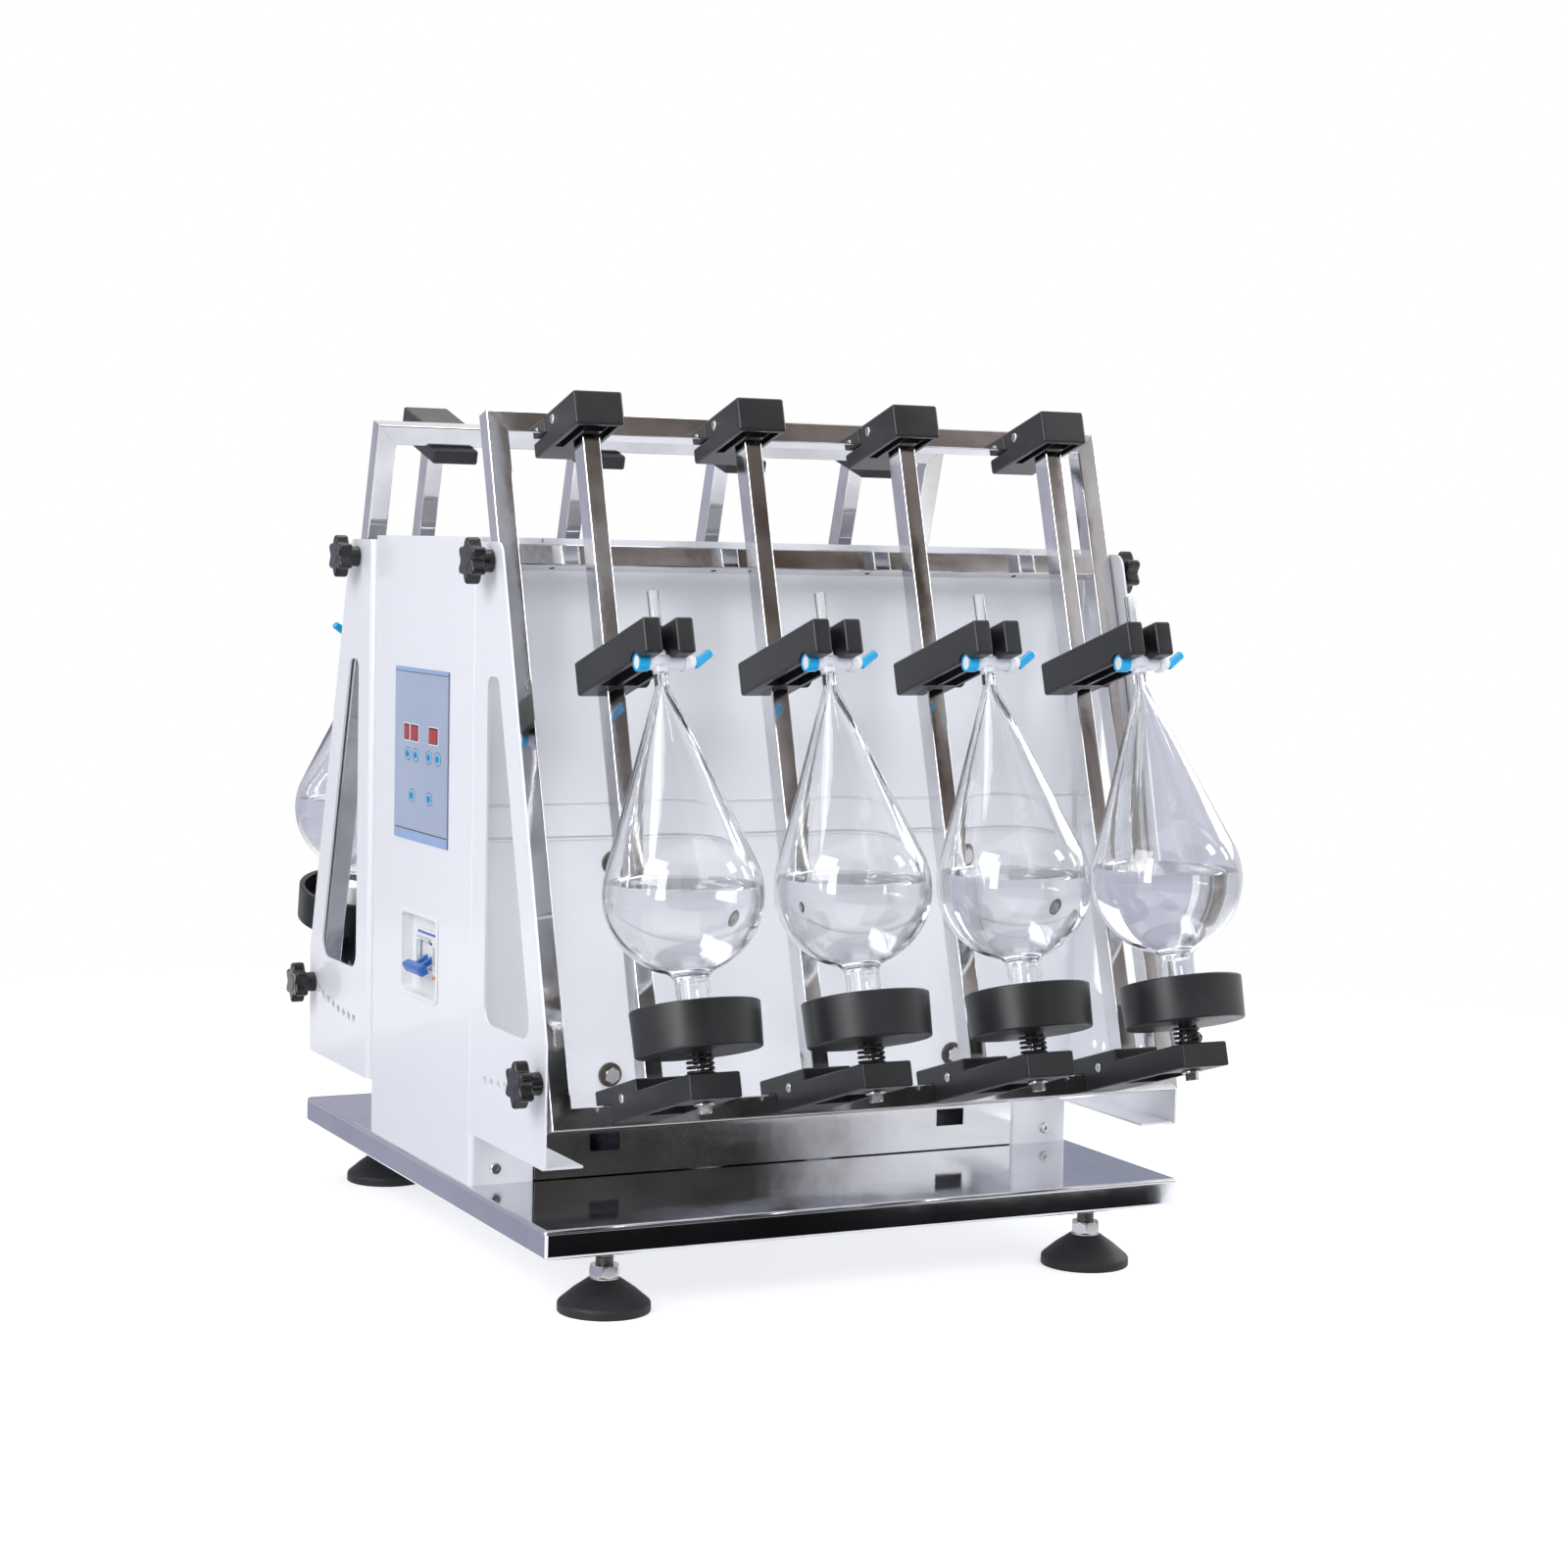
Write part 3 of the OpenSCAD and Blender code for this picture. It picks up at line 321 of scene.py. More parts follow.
# %% Finish builder
def finish(name, dark, light, rough, grain, clouds, depth=0.0006, **sockets):
    """A material. The grain is a scale and a strength, and depth is how deep its bumps are in metres."""
    material = bpy.data.materials.new(name)
    material.use_nodes = True
    tree = material.node_tree
    where = node(tree, "ShaderNodeTexCoord").outputs["Object"]
    mask = node(tree, "ShaderNodeGroup", {"Vector": where, "Scale": clouds}, node_tree=CLOUDS).outputs["Mask"]
    gloss = node(tree, "ShaderNodeMapRange", {"Value": mask, "To Min": rough[0], "To Max": rough[1]})
    fine = node(tree, "ShaderNodeGroup", {"Vector": where, "Scale": grain[0]}, node_tree=GRAIN)
    bump = node(tree, "ShaderNodeBump",
                {"Height": fine.outputs["Height"], "Strength": grain[1], "Distance": depth})
    given = {socket.replace("_", " "): value for socket, value in sockets.items()}
    feed(tree, tree.nodes["Principled BSDF"],
         {"Base Color": mixed(tree, mask, dark, light), "Roughness": gloss.outputs["Result"],
          "Normal": bump.outputs["Normal"], **given})
    return material


print("finish builder ready")

# %% Metals, paint and black parts
STEEL = finish("polished_stainless", (0.60, 0.61, 0.64), (0.74, 0.75, 0.78), (0.04, 0.11), (16, 0.35), 7.0,
               depth=0.0007, Metallic=1.0)
TUBE_STEEL = finish("polished_tube", (0.58, 0.57, 0.58), (0.80, 0.80, 0.82), (0.04, 0.12), (20, 0.30), 12.0,
                    depth=0.0008, Metallic=1.0)
PAINT = finish("white_powder_coat", (0.81, 0.82, 0.86), (0.82, 0.83, 0.87), (0.285, 0.31), (900, 0.04), 3.0,
               Coat_Weight=0.45, Coat_Roughness=0.07)
BLACK = finish("moulded_black", (0.008, 0.009, 0.010), (0.015, 0.016, 0.018), (0.30, 0.42),
               (1500, 0.10), 14.0, Specular_IOR_Level=0.38)
KNOB_BLACK = finish("knob_black", (0.005, 0.005, 0.006), (0.011, 0.011, 0.013), (0.14, 0.22),
                    (900, 0.04), 22.0)
RUBBER = finish("foot_rubber", (0.007, 0.008, 0.009), (0.016, 0.017, 0.019), (0.48, 0.66), (800, 0.25), 18.0,
                Specular_IOR_Level=0.35)
ZINC = finish("zinc_steel", (0.50, 0.50, 0.52), (0.60, 0.60, 0.61), (0.21, 0.265), (600, 0.02), 40.0,
              Metallic=1.0)
DARK_STEEL = finish("dark_steel", (0.10, 0.09, 0.08), (0.20, 0.18, 0.16), (0.28, 0.42), (700, 0.06), 60.0,
                    Metallic=1.0)
SPRING_BLACK = finish("spring_black", (0.012, 0.012, 0.013), (0.03, 0.03, 0.032), (0.285, 0.38),
                      (500, 0.05), 80.0)
MACHINED = finish("machined_steel", (0.42, 0.43, 0.45), (0.58, 0.59, 0.61), (0.285, 0.36), (400, 0.05), 20.0,
                  Metallic=1.0)
MOTOR_GREY = finish("motor_enamel", (0.10, 0.11, 0.12), (0.15, 0.16, 0.18), (0.35, 0.5), (500, 0.2), 20.0)
print("metals, paint and black parts", len(bpy.data.materials))

# %% Coloured plastics and prints
BLUE = finish("stopcock_blue", (0.003, 0.34, 0.70), (0.008, 0.42, 0.80), (0.21, 0.265), (900, 0.04), 40.0)
WHITE_PLASTIC = finish("white_plastic", (0.80, 0.80, 0.81), (0.86, 0.86, 0.87), (0.285, 0.36),
                       (900, 0.05), 30.0)
BARREL_WHITE = finish("barrel_white", (0.70, 0.72, 0.79), (0.78, 0.80, 0.86), (0.16, 0.26), (900, 0.03), 40.0,
                      Subsurface_Weight=0.15, Subsurface_Radius=(0.004, 0.004, 0.004))
FILM = finish("membrane_film", (0.325, 0.38, 0.525), (0.37, 0.425, 0.57), (0.34, 0.46), (1200, 0.05), 9.0)
FILM_STRIP = finish("membrane_strip", (0.25, 0.38, 0.62), (0.29, 0.43, 0.68), (0.3, 0.4), (1200, 0.04), 9.0)
# Dark print, also used for a painted shadow strip on the film's edge and painted shade in the breaker's
# toggle well.
DARK_PRINT_AND_SHADE = finish("dark_print_and_shade", (0.03, 0.04, 0.06), (0.06, 0.07, 0.09), (0.4, 0.5), (900, 0.03), 40.0)
LED_DARK = finish("display_window", (0.07, 0.004, 0.008), (0.12, 0.006, 0.012), (0.10, 0.16),
                  (900, 0.02), 60.0, Specular_IOR_Level=0.25)
LED_RED = finish("display_glow", (0.34, 0.014, 0.020), (0.44, 0.022, 0.030), (0.10, 0.16), (900, 0.02), 60.0,
                 Specular_IOR_Level=0.25)
LED_LIT = finish("display_segment", (0.44, 0.035, 0.045), (0.50, 0.045, 0.055), (0.2, 0.265),
                 (900, 0.02), 60.0)
KEY_BLUE = finish("key_blue", (0.0, 0.36, 0.66), (0.005, 0.45, 0.76), (0.3, 0.4), (900, 0.04), 90.0)
KEY_DARK = finish("key_mark", (0.0, 0.12, 0.34), (0.0, 0.17, 0.42), (0.3, 0.4), (900, 0.04), 90.0)
KEY_RING = finish("key_ring", (0.62, 0.74, 0.88), (0.70, 0.80, 0.92), (0.3, 0.4), (900, 0.03), 60.0)
TOGGLE_BLUE = finish("toggle_blue", (0.015, 0.10, 0.42), (0.03, 0.15, 0.52), (0.2, 0.265), (900, 0.03), 40.0)
ORANGE = finish("mark_orange", (0.75, 0.20, 0.02), (0.85, 0.26, 0.04), (0.35, 0.45), (900, 0.03), 60.0)
GREY_MARK = finish("grey_mark", (0.42, 0.46, 0.54), (0.52, 0.56, 0.63), (0.35, 0.45), (900, 0.03), 60.0)
print("plastics and prints", len(bpy.data.materials))

# %% Glass and water
GLASS = finish("clear_glass", (0.985, 0.99, 0.99), (0.995, 0.998, 1.0), (0.0, 0.01), (40, 0.02), 16.0,
               Transmission_Weight=1.0, IOR=1.47)
WATER = finish("clear_water", (0.93, 0.945, 0.965), (0.95, 0.96, 0.975), (0.0, 0.005), (30, 0.01), 10.0,
               Transmission_Weight=1.0, IOR=1.33)
print("finishes", len(bpy.data.materials))

# %% [markdown]
# ## Maker's tools
# The pieces below are made with a handful of shop operations, each a short function on a mesh in
# millimetres: turning a profile, sawing a flat outline from a block, easing the edges, and cutting with a
# second solid. The last one hands a finished mesh over to the frame: it scales to metres, keeps flat faces
# flat with weighted normals, and rides the piece on its body. A piece without faces stops the script.

# %% Turning, sawing, easing
def arc(x, y, radius, turns, stretch=1.0):
    """Points round a middle at the given turns, stretched along the first axis."""
    return [(x + stretch * radius * math.cos(t), y + radius * math.sin(t)) for t in turns]


def arc_corner(a, b, c, radius, steps):
    a, b, c = Vector(a), Vector(b), Vector(c)
    ab, cb = (a - b).normalized(), (c - b).normalized()
    half = math.acos(max(-1, min(1, ab.dot(cb)))) / 2
    centre = b + (ab + cb).normalized() * radius / math.sin(half)
    start, end = b + ab * radius / math.tan(half) - centre, b + cb * radius / math.tan(half) - centre
    first, last = math.atan2(start.y, start.x), math.atan2(end.y, end.x)
    sweep = (last - first + math.pi) % (2 * math.pi) - math.pi
    turns = [first + sweep * k / steps for k in range(steps + 1)]
    return arc(centre.x, centre.y, radius, turns)


def eased_outline(points, radii, steps):
    out = []
    for k, (point, radius) in enumerate(zip(points, radii)):
        before, after = points[k - 1], points[(k + 1) % len(points)]
        out += arc_corner(before, point, after, radius, steps) if radius > 0 else [tuple(point)]
    return out


def turned(profile, steps):
    """A solid of revolution about Z from points of radius and height."""
    bm = bmesh.new()
    verts = [bm.verts.new((r, 0, z)) for r, z in profile]
    edges = [bm.edges.new(pair) for pair in zip(verts, verts[1:] + verts[:1])]
    bmesh.ops.spin(bm, geom=verts + edges, cent=(0, 0, 0), axis=(0, 0, 1), angle=2 * math.pi,
                   steps=steps, use_merge=True)
    bmesh.ops.remove_doubles(bm, verts=bm.verts, dist=1e-4)
    bmesh.ops.dissolve_degenerate(bm, edges=bm.edges, dist=1e-5)
    bmesh.ops.recalc_face_normals(bm, faces=bm.faces)
    return bm


def pin(radius, low, high, steps):
    """A plain round pin along Z."""
    return turned([(0, low), (radius, low), (radius, high), (0, high)], steps)


def sawn(outline, low, high):
    """A flat outline in X and Y, raised from low to high along Z."""
    bm = bmesh.new()
    bottom = bm.faces.new([bm.verts.new((x, y, low)) for x, y in outline])
    top = bmesh.ops.extrude_face_region(bm, geom=[bottom])["geom"]
    raised = [v for v in top if isinstance(v, bmesh.types.BMVert)]
    bmesh.ops.translate(bm, verts=raised, vec=(0, 0, high - low))
    bmesh.ops.recalc_face_normals(bm, faces=bm.faces)
    return bm


def block(low, high):
    bm = bmesh.new()
    bmesh.ops.create_cube(bm, size=1)
    size = Vector(high) - Vector(low)
    for v in bm.verts:
        v.co = Vector(low) + Vector((v.co[k] + 0.5) * size[k] for k in range(3))
    return bm


def ease(bm, width, steps=3, angle=30, only=None):
    """Rounds the sharp edges of a solid."""
    sharp = [e for e in bm.edges if len(e.link_faces) == 2 and e.calc_face_angle() > math.radians(angle)]
    if only is not None:
        sharp = [e for e in sharp if only(e)]
    bmesh.ops.bevel(bm, geom=sharp, offset=width, offset_type="OFFSET", segments=steps, profile=0.5,
                    affect="EDGES", clamp_overlap=True)
    return bm


def moved(bm, matrix):
    bmesh.ops.transform(bm, matrix=matrix, verts=bm.verts)
    return bm


def joined(*parts):
    whole = bmesh.new()
    for part in parts:
        mesh = bpy.data.meshes.new("part")
        part.to_mesh(mesh)
        part.free()
        whole.from_mesh(mesh)
        bpy.data.meshes.remove(mesh)
    return whole


print("shaping tools ready")

# %% Cutting and handing over
def loose_object(bm, name="work"):
    mesh = bpy.data.meshes.new(name)
    bm.to_mesh(mesh)
    bm.free()
    return linked(name, mesh)


def settled(obj, *helpers):
    """The mesh of an object with its modifiers applied. The object and its helpers are then gone."""
    graph = bpy.context.evaluated_depsgraph_get()
    graph.update()
    mesh = bpy.data.meshes.new_from_object(obj.evaluated_get(graph))
    for used in (obj, *helpers):
        spent = used.data
        bpy.data.objects.remove(used)
        bpy.data.meshes.remove(spent)
    return mesh


def solid_from(obj, *helpers):
    mesh = settled(obj, *helpers)
    bm = bmesh.new()
    bm.from_mesh(mesh)
    bpy.data.meshes.remove(mesh)
    return bm


def cut(bm, *tools):
    """The solid with each tool cut away."""
    work = loose_object(bm)
    tools = [loose_object(tool, "tool") for tool in tools]
    for tool in tools:
        step = work.modifiers.new("cut", "BOOLEAN")
        step.operation = "DIFFERENCE"
        step.solver = "EXACT"
        step.object = tool
    return solid_from(work, *tools)


def piece(name, bm, body, material, slot, place=Matrix(), smooth=38, flat=True, replaces=()):
    """Hands a finished mesh to the frame as a piece that rides on a body."""
    work = loose_object(moved(bm, Matrix.Scale(MM, 4) @ place), name + "_work")
    work.data.polygons.foreach_set("use_smooth", [True] * len(work.data.polygons))
    work.data.set_sharp_from_angle(angle=math.radians(smooth))
    if flat:
        step = work.modifiers.new("flat", "WEIGHTED_NORMAL")
        step.keep_sharp = True
    mesh = settled(work)
    if not mesh.polygons:
        raise ValueError(name + " has no faces")
    mesh.name = name
    mesh.materials.clear()
    mesh.materials.append(material)
    obj = linked(name, mesh)
    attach(obj, body)
    if replaces:
        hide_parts(*replaces)
    return obj


print("cutting tools ready")

# %% [markdown]
# ## Copies on points
# Screws, bolts, feet, bars and blocks come in sets. One Geometry Nodes tree makes every set: it takes a
# cloud of points, each with a turn, puts one copy of a piece on each point, turns the copies into real
# faces and gives them their finish. A loop of copied objects would do it too, but the tree keeps one
# master piece, and a set is changed by moving its points.

# %% The tree for sets of equal pieces
def end_tree(tree, geometry, material, label):
    """The last nodes of a tree: real faces with a finish."""
    real = node(tree, "GeometryNodeRealizeInstances", {"Geometry": geometry})
    paint = node(tree, "GeometryNodeSetMaterial",
                 {"Geometry": real.outputs["Geometry"], "Material": material})
    node(tree, "NodeGroupOutput", {label: paint.outputs["Geometry"]})


def copies_tree():
    tree, flow, names = new_tree("copies_on_points", "GeometryNodeTree",
                                 {"Points": "Geometry", "Piece": "Object", "Finish": "Material"},
                                 {"Set": "Geometry"})
    master = node(tree, "GeometryNodeObjectInfo", {"Object": flow["Piece"]})
    turns = node(tree, "GeometryNodeInputNamedAttribute", {"Name": "turn"}, data_type="FLOAT_VECTOR")
    rotation = node(tree, "FunctionNodeEulerToRotation", {"Euler": turns.outputs["Attribute"]})
    placed = node(tree, "GeometryNodeInstanceOnPoints",
                  {"Points": flow["Points"], "Instance": master.outputs["Geometry"],
                   "Rotation": rotation.outputs["Rotation"]})
    end_tree(tree, placed.outputs["Instances"], flow["Finish"], "Set")
    return tree, names


def with_tree(obj, tree, names, values):
    """Gives an object a Geometry Nodes tree with its input values."""
    step = obj.modifiers.new("tree", "NODES")
    step.node_group = tree
    for label, value in values.items():
        step[names[label]] = value


COPIES, COPIES_IN = copies_tree()


def copies(bm, places, material):
    """One mesh with a copy of a solid at each place, a matrix in millimetres."""
    master = loose_object(bm, "master")
    mesh = bpy.data.meshes.new("points")
    mesh.from_pydata([place.translation for place in places], [], [])
    turn = mesh.attributes.new("turn", "FLOAT_VECTOR", "POINT")
    turn.data.foreach_set("vector", [v for place in places for v in place.to_euler()])
    points = linked("points", mesh)
    with_tree(points, COPIES, COPIES_IN, {"Piece": master, "Finish": material})
    return solid_from(points, master)


print("tree", COPIES.name, "inputs", COPIES_IN)

# %% [markdown]
# ## Places
# The racks lean, so their pieces are drawn in the rack's own directions: X along the rack, minus Y
# outward from its face and Z up its length. One matrix carries that to the upright frame. The rear rack is
# the front one turned half round about the tower. Most sets on the racks come once for each of four
# stations, and once for each rack.

# %% Sizes that the CAD model uses, in millimetres
QUARTER = math.pi / 2
TILT = math.radians(16.7)
PIVOT_Y, PIVOT_Z, PIVOT_S = 182.3, 631.4, 489.5
TUBE, RACK_W, RACK_L, RAIL_S = 19.0, 610.0, 622.0, 484.0
PITCH, AXIS_N, COCK_S = 153.0, 139.5, 362.8


def spun(angle, axis):
    return Matrix.Rotation(angle, 4, axis)


HALF_TURN = spun(math.pi, "Z")
FRONT = at(0, -PIVOT_Y, PIVOT_Z) @ spun(-TILT, "X") @ at(0, -TUBE / 2, -PIVOT_S)
RACKS = {"front": FRONT, "rear": HALF_TURN @ FRONT}
STATIONS = range(1, 9)
ON_AXIS = at(0, -AXIS_N, 0)
ON_COCK = at(0, -AXIS_N, COCK_S) @ spun(QUARTER, "Y")


def along(k):
    return at((k - 1.5) * PITCH, 0, 0)


def four(place):
    return [place @ along(k) for k in range(4)]


def rack_of(number):
    return "front" if number <= 4 else "rear"


def station(number):
    return RACKS[rack_of(number)] @ along((number - 1) % 4)


def on_both_racks(name, build, material, slot, instead_of=None, **options):
    """One piece for each rack, built for the place of that rack."""
    pieces = []
    for word, place in RACKS.items():
        replaced = [f"{word}_{instead_of}"] if instead_of else []
        made = piece(f"{word}_{name}", build(place), f"{word}_tilt", material, slot, replaces=replaced,
                     **options)
        print(made.name, len(made.data.polygons), "faces")
        pieces.append(made)
    return pieces


print("first station", [round(v, 1) for v in (station(1) @ Vector((0, -AXIS_N, COCK_S)))])

# %% [markdown]
# ## Base
# The base is a tray folded from mirror stainless. Its bends and hems catch the light as thin bright lines
# round a dark face, which a sharp box can't show. So a box is eased on every edge, opened below inside a
# hem, and given its sheet thickness by a Solidify modifier.

# %% Base tray
BASE_LOW, BASE_HIGH = (-310, -330, 57), (310, 330, 82)
BEND, HEM, SHEET = 3.6, 12, 2.0


def base_tray():
    bm = ease(block(BASE_LOW, BASE_HIGH), BEND, 5)
    under = min(bm.faces, key=lambda f: (f.calc_center_median().z, -f.calc_area()))
    bmesh.ops.inset_region(bm, faces=[under], thickness=HEM)
    bmesh.ops.delete(bm, geom=[under], context="FACES")
    work = loose_object(bm)
    step = work.modifiers.new("sheet", "SOLIDIFY")
    step.thickness = SHEET
    step.offset = -1
    return solid_from(work)


made = piece("base_tray", base_tray(), "base", STEEL, "stainless", replaces=["base_plate"])
print("base tray faces", len(made.data.polygons))

# %% [markdown]
# ## Feet
# Each foot is a conical rubber pad, a hexagon nut and a threaded stud. The pad is turned from a profile.
# The nut is a hexagon whose corners a lathe has chamfered, so every point lies on the smaller of a
# hexagon and a cone. The thread is a ridge swept along a spiral by Geometry Nodes, since it follows a path.

# %% Hexagons and threads
SIXTH = math.pi / 3
LATHE_SLOPE = 0.6 / math.tan(math.radians(30))


def hexagon(flats, low, high, chamfer, steps=72):
    """A hexagon head or nut along Z, chamfered at both ends."""
    bm = bmesh.new()
    corner = flats / math.sqrt(3)
    rings = []
    for z in (low, low + chamfer / 2, low + chamfer, high - chamfer, high - chamfer / 2, high):
        lathe = flats / 2 + min(z - low, high - z) * LATHE_SLOPE
        ring = []
        for k in range(steps):
            turn = 2 * math.pi * k / steps
            side = (turn + SIXTH / 2) % SIXTH - SIXTH / 2
            radius = min(flats / 2 / math.cos(side), lathe, corner)
            ring.append(bm.verts.new((radius * math.cos(turn), radius * math.sin(turn), z)))
        rings.append(ring)
    for a, b in zip(rings, rings[1:]):
        for k in range(steps):
            bm.faces.new((a[k], a[(k + 1) % steps], b[(k + 1) % steps], b[k]))
    bm.faces.new(list(reversed(rings[0])))
    bm.faces.new(rings[-1])
    bmesh.ops.recalc_face_normals(bm, faces=bm.faces)
    return bm


def spiral_tree():
    tree, flow, names = new_tree("wound_wire", "GeometryNodeTree",
                                 {"Geometry": "Geometry", "Radius": "Float", "Turns": "Float",
                                  "Height": "Float", "Wire": "Float", "Sides": "Int", "Steps": "Int",
                                  "Finish": "Material"}, {"Wire": "Geometry"})
    path = node(tree, "GeometryNodeCurveSpiral",
                {"Start Radius": flow["Radius"], "End Radius": flow["Radius"], "Rotations": flow["Turns"],
                 "Height": flow["Height"], "Resolution": flow["Steps"]})
    ring = node(tree, "GeometryNodeCurvePrimitiveCircle",
                {"Radius": flow["Wire"], "Resolution": flow["Sides"]})
    sweep = node(tree, "GeometryNodeCurveToMesh",
                 {"Curve": path.outputs["Curve"], "Profile Curve": ring.outputs["Curve"], "Fill Caps": True})
    end_tree(tree, sweep.outputs["Mesh"], flow["Finish"], "Wire")
    return tree, names


WIRE, WIRE_IN = spiral_tree()


def wound(radius, turns, height, wire, material, sides, steps):
    """A wire wound round Z from the origin upward, in millimetres."""
    holder = linked("wire", bpy.data.meshes.new("wire"))
    with_tree(holder, WIRE, WIRE_IN,
              {"Radius": float(radius), "Turns": float(turns), "Height": float(height), "Wire": float(wire),
               "Sides": sides, "Steps": steps, "Finish": material})
    bm = solid_from(holder)
    bmesh.ops.recalc_face_normals(bm, faces=bm.faces)
    return bm


print("tree", WIRE.name, "inputs", list(WIRE_IN))

# %% Levelling feet
FEET = [at(x, y, 0) for x in (-238, 238) for y in (-287, 287)]
PAD_TOP, PAD_FLOOR, NUT_TOP, STUD_TOP = 28.0, 16, 40.0, 79.5
PAD = eased_outline([(0, 0), (40, 0), (40, 8), (27, 19), (14, PAD_TOP), (8.1, PAD_TOP), (8.1, PAD_FLOOR),
                     (0, PAD_FLOOR)], [0, 1.2, 4.0, 20.0, 1.2, 0, 0, 0], 6)


def foot_stud():
    ridge = wound(7.25, 9, 20, 0.75, DARK_STEEL, 6, 28)
    return joined(pin(7.2, PAD_FLOOR + 0.1, STUD_TOP, 32), moved(ridge, at(0, 0, NUT_TOP - 1)))


def foot_nut():
    collar = pin(12.6, PAD_TOP, PAD_TOP + 1.1, 48)
    return moved(joined(hexagon(24, PAD_TOP + 1, NUT_TOP, 2.0), collar), spun(math.pi / 6, "Z"))


piece("levelling_pads", copies(turned(PAD, 72), FEET, RUBBER), "base", RUBBER, "black_rubber",
      replaces=["foot_pads"])
made = piece("levelling_studs", copies(foot_stud(), FEET, DARK_STEEL), "base", DARK_STEEL, "dark_steel",
             smooth=50, replaces=["foot_studs"])
piece("levelling_nuts", copies(foot_nut(), FEET, ZINC), "base", ZINC, "machine_steel", smooth=30)
print("feet", len(FEET), "stud faces", len(made.data.polygons))

# %% [markdown]
# ## Tower, carriage and drive
# The columns, covers, folded shells and inner drive already have their true shape in the CAD model, bends
# included. They keep their solids and only take a finish.

# %% Finishes on the CAD solids that stay
CAD_FINISH = {
    PAINT: ["left_column", "right_column", "top_cover", "front_shell", "rear_shell"],
    MACHINED: ["guide_rods", "crank", "con_rod", "cross_bars"],
    MOTOR_GREY: ["motor"],
}
for material, names in CAD_FINISH.items():
    for name in names:
        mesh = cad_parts[name].data
        mesh.materials.clear()
        mesh.materials.append(material)
print("CAD solids finished", sum(len(names) for names in CAD_FINISH.values()))

# %% [markdown]
# ## Plinth cover and shell bands
# The polished cover between the column feet is one bent sheet: its upper edges are rounded and it stands a
# hair above the base, which draws a fine dark line there. A stiffening band with a bead on each side
# crosses each shell. Both are eased blocks, because the soft edge separates them from the sheet behind.

# %% Plinth and bands
PLINTH_X, PLINTH_Y, PLINTH_LOW, PLINTH_HIGH = 243.8, 138, 83, 132
HOLE_X, HOLE_HALF, HOLE_LOW, HOLE_HIGH = 177, 14.5, 105, 121
BAND_X, BAND_BACK = 299, 141


def plinth():
    cover = ease(block((-PLINTH_X, -PLINTH_Y, PLINTH_LOW), (PLINTH_X, PLINTH_Y, PLINTH_HIGH)), 2.4, 4,
                 only=lambda e: min(v.co.z for v in e.verts) > 100)
    hollow = block((-250, SHEET - PLINTH_Y, 80), (250, PLINTH_Y - SHEET, PLINTH_HIGH - SHEET))
    holes = [block((x - HOLE_HALF, y - 4, HOLE_LOW), (x + HOLE_HALF, y + 4, HOLE_HIGH))
             for x in (-HOLE_X, HOLE_X) for y in (-137, 137)]
    return cut(cover, hollow, *holes)


def shell_band():
    """A flat band between two narrow beads, so that a fine shaded groove runs along each edge."""
    strips = [(390.0, 417.0, 144.8), (386.4, 388.2, 143.6), (418.8, 420.6, 143.6)]
    return joined(*[ease(block((-BAND_X, -out, low), (BAND_X, -BAND_BACK, high)), 0.5, 2)
                    for low, high, out in strips])


piece("plinth_sheet", plinth(), "base", STEEL, "stainless", replaces=["plinth_cover"])
made = piece("shell_bands", copies(shell_band(), [Matrix(), HALF_TURN], PAINT), "carriage", PAINT,
             "white_paint")
print("band faces", len(made.data.polygons))

# %% [markdown]
# ## Carriage bolts and column screws
# Eight hexagon bolts with wide washers hold the shells to the bars inside, and one socket screw closes
# each column side near the base. Both are sets, so one master piece is copied onto points.

# %% Bolts and screws
def facing(x, y, z, turn):
    """A place whose Z axis points out of a wall, turned about the upright axis."""
    return spun(turn, "Z") @ at(x, y, z) @ spun(QUARTER, "X")


def socket_screw(head, height, socket, depth):
    """A button screw along Z with a hexagon socket in its head."""
    dome = eased_outline([(0, 0), (head, 0), (head, height), (0, height)], [0, 0, height * 0.6, 0], 5)
    return cut(turned(dome, 40), hexagon(socket, height - depth, height + 2, 0.2, 24))


WALL_BOLTS = [facing(x, -142, z, turn) for turn in (0, math.pi) for x in (-175, 175) for z in (174.5, 365)]
COLUMN_SCREWS = [facing(x, -138, 96, turn) for turn in (0, math.pi) for x in (-281, 281)]
WASHER = eased_outline([(6.5, 0), (11, 0), (11, 2), (6.5, 2)], [0, 0, 0.7, 0.4], 3)
piece("wall_washers", copies(turned(WASHER, 48), WALL_BOLTS, DARK_STEEL), "carriage", DARK_STEEL,
      "dark_steel", replaces=["shell_bolts"])
piece("wall_bolts", copies(hexagon(13, 1.6, 7.5, 1.2), WALL_BOLTS, ZINC), "carriage", ZINC, "machine_steel",
      smooth=30)
piece("column_screws", copies(socket_screw(5.2, 2.2, 4.4, 1.7), COLUMN_SCREWS, ZINC), "base", ZINC,
      "machine_steel", smooth=30)
print("bolts", len(WALL_BOLTS), "screws", len(COLUMN_SCREWS))

# %% [markdown]
# ## Racks
# A rack is a frame of square stainless tube, mitred at its corners, with a middle rail. Each tube is a
# bar with eased edges whose ends are sheared to the mitre, so the joint shows as a fine diagonal line.
# The small holes under the middle rail are cut with round tools.

# %% Rack frames
TUBE_EDGE, MITRE_GAP, RAIL_GAP = 1.5, 0.12, 0.1
HALF_TUBE = TUBE / 2


def longer_in_x(length):
    return lambda edge: abs((edge.verts[0].co - edge.verts[1].co).x) > length


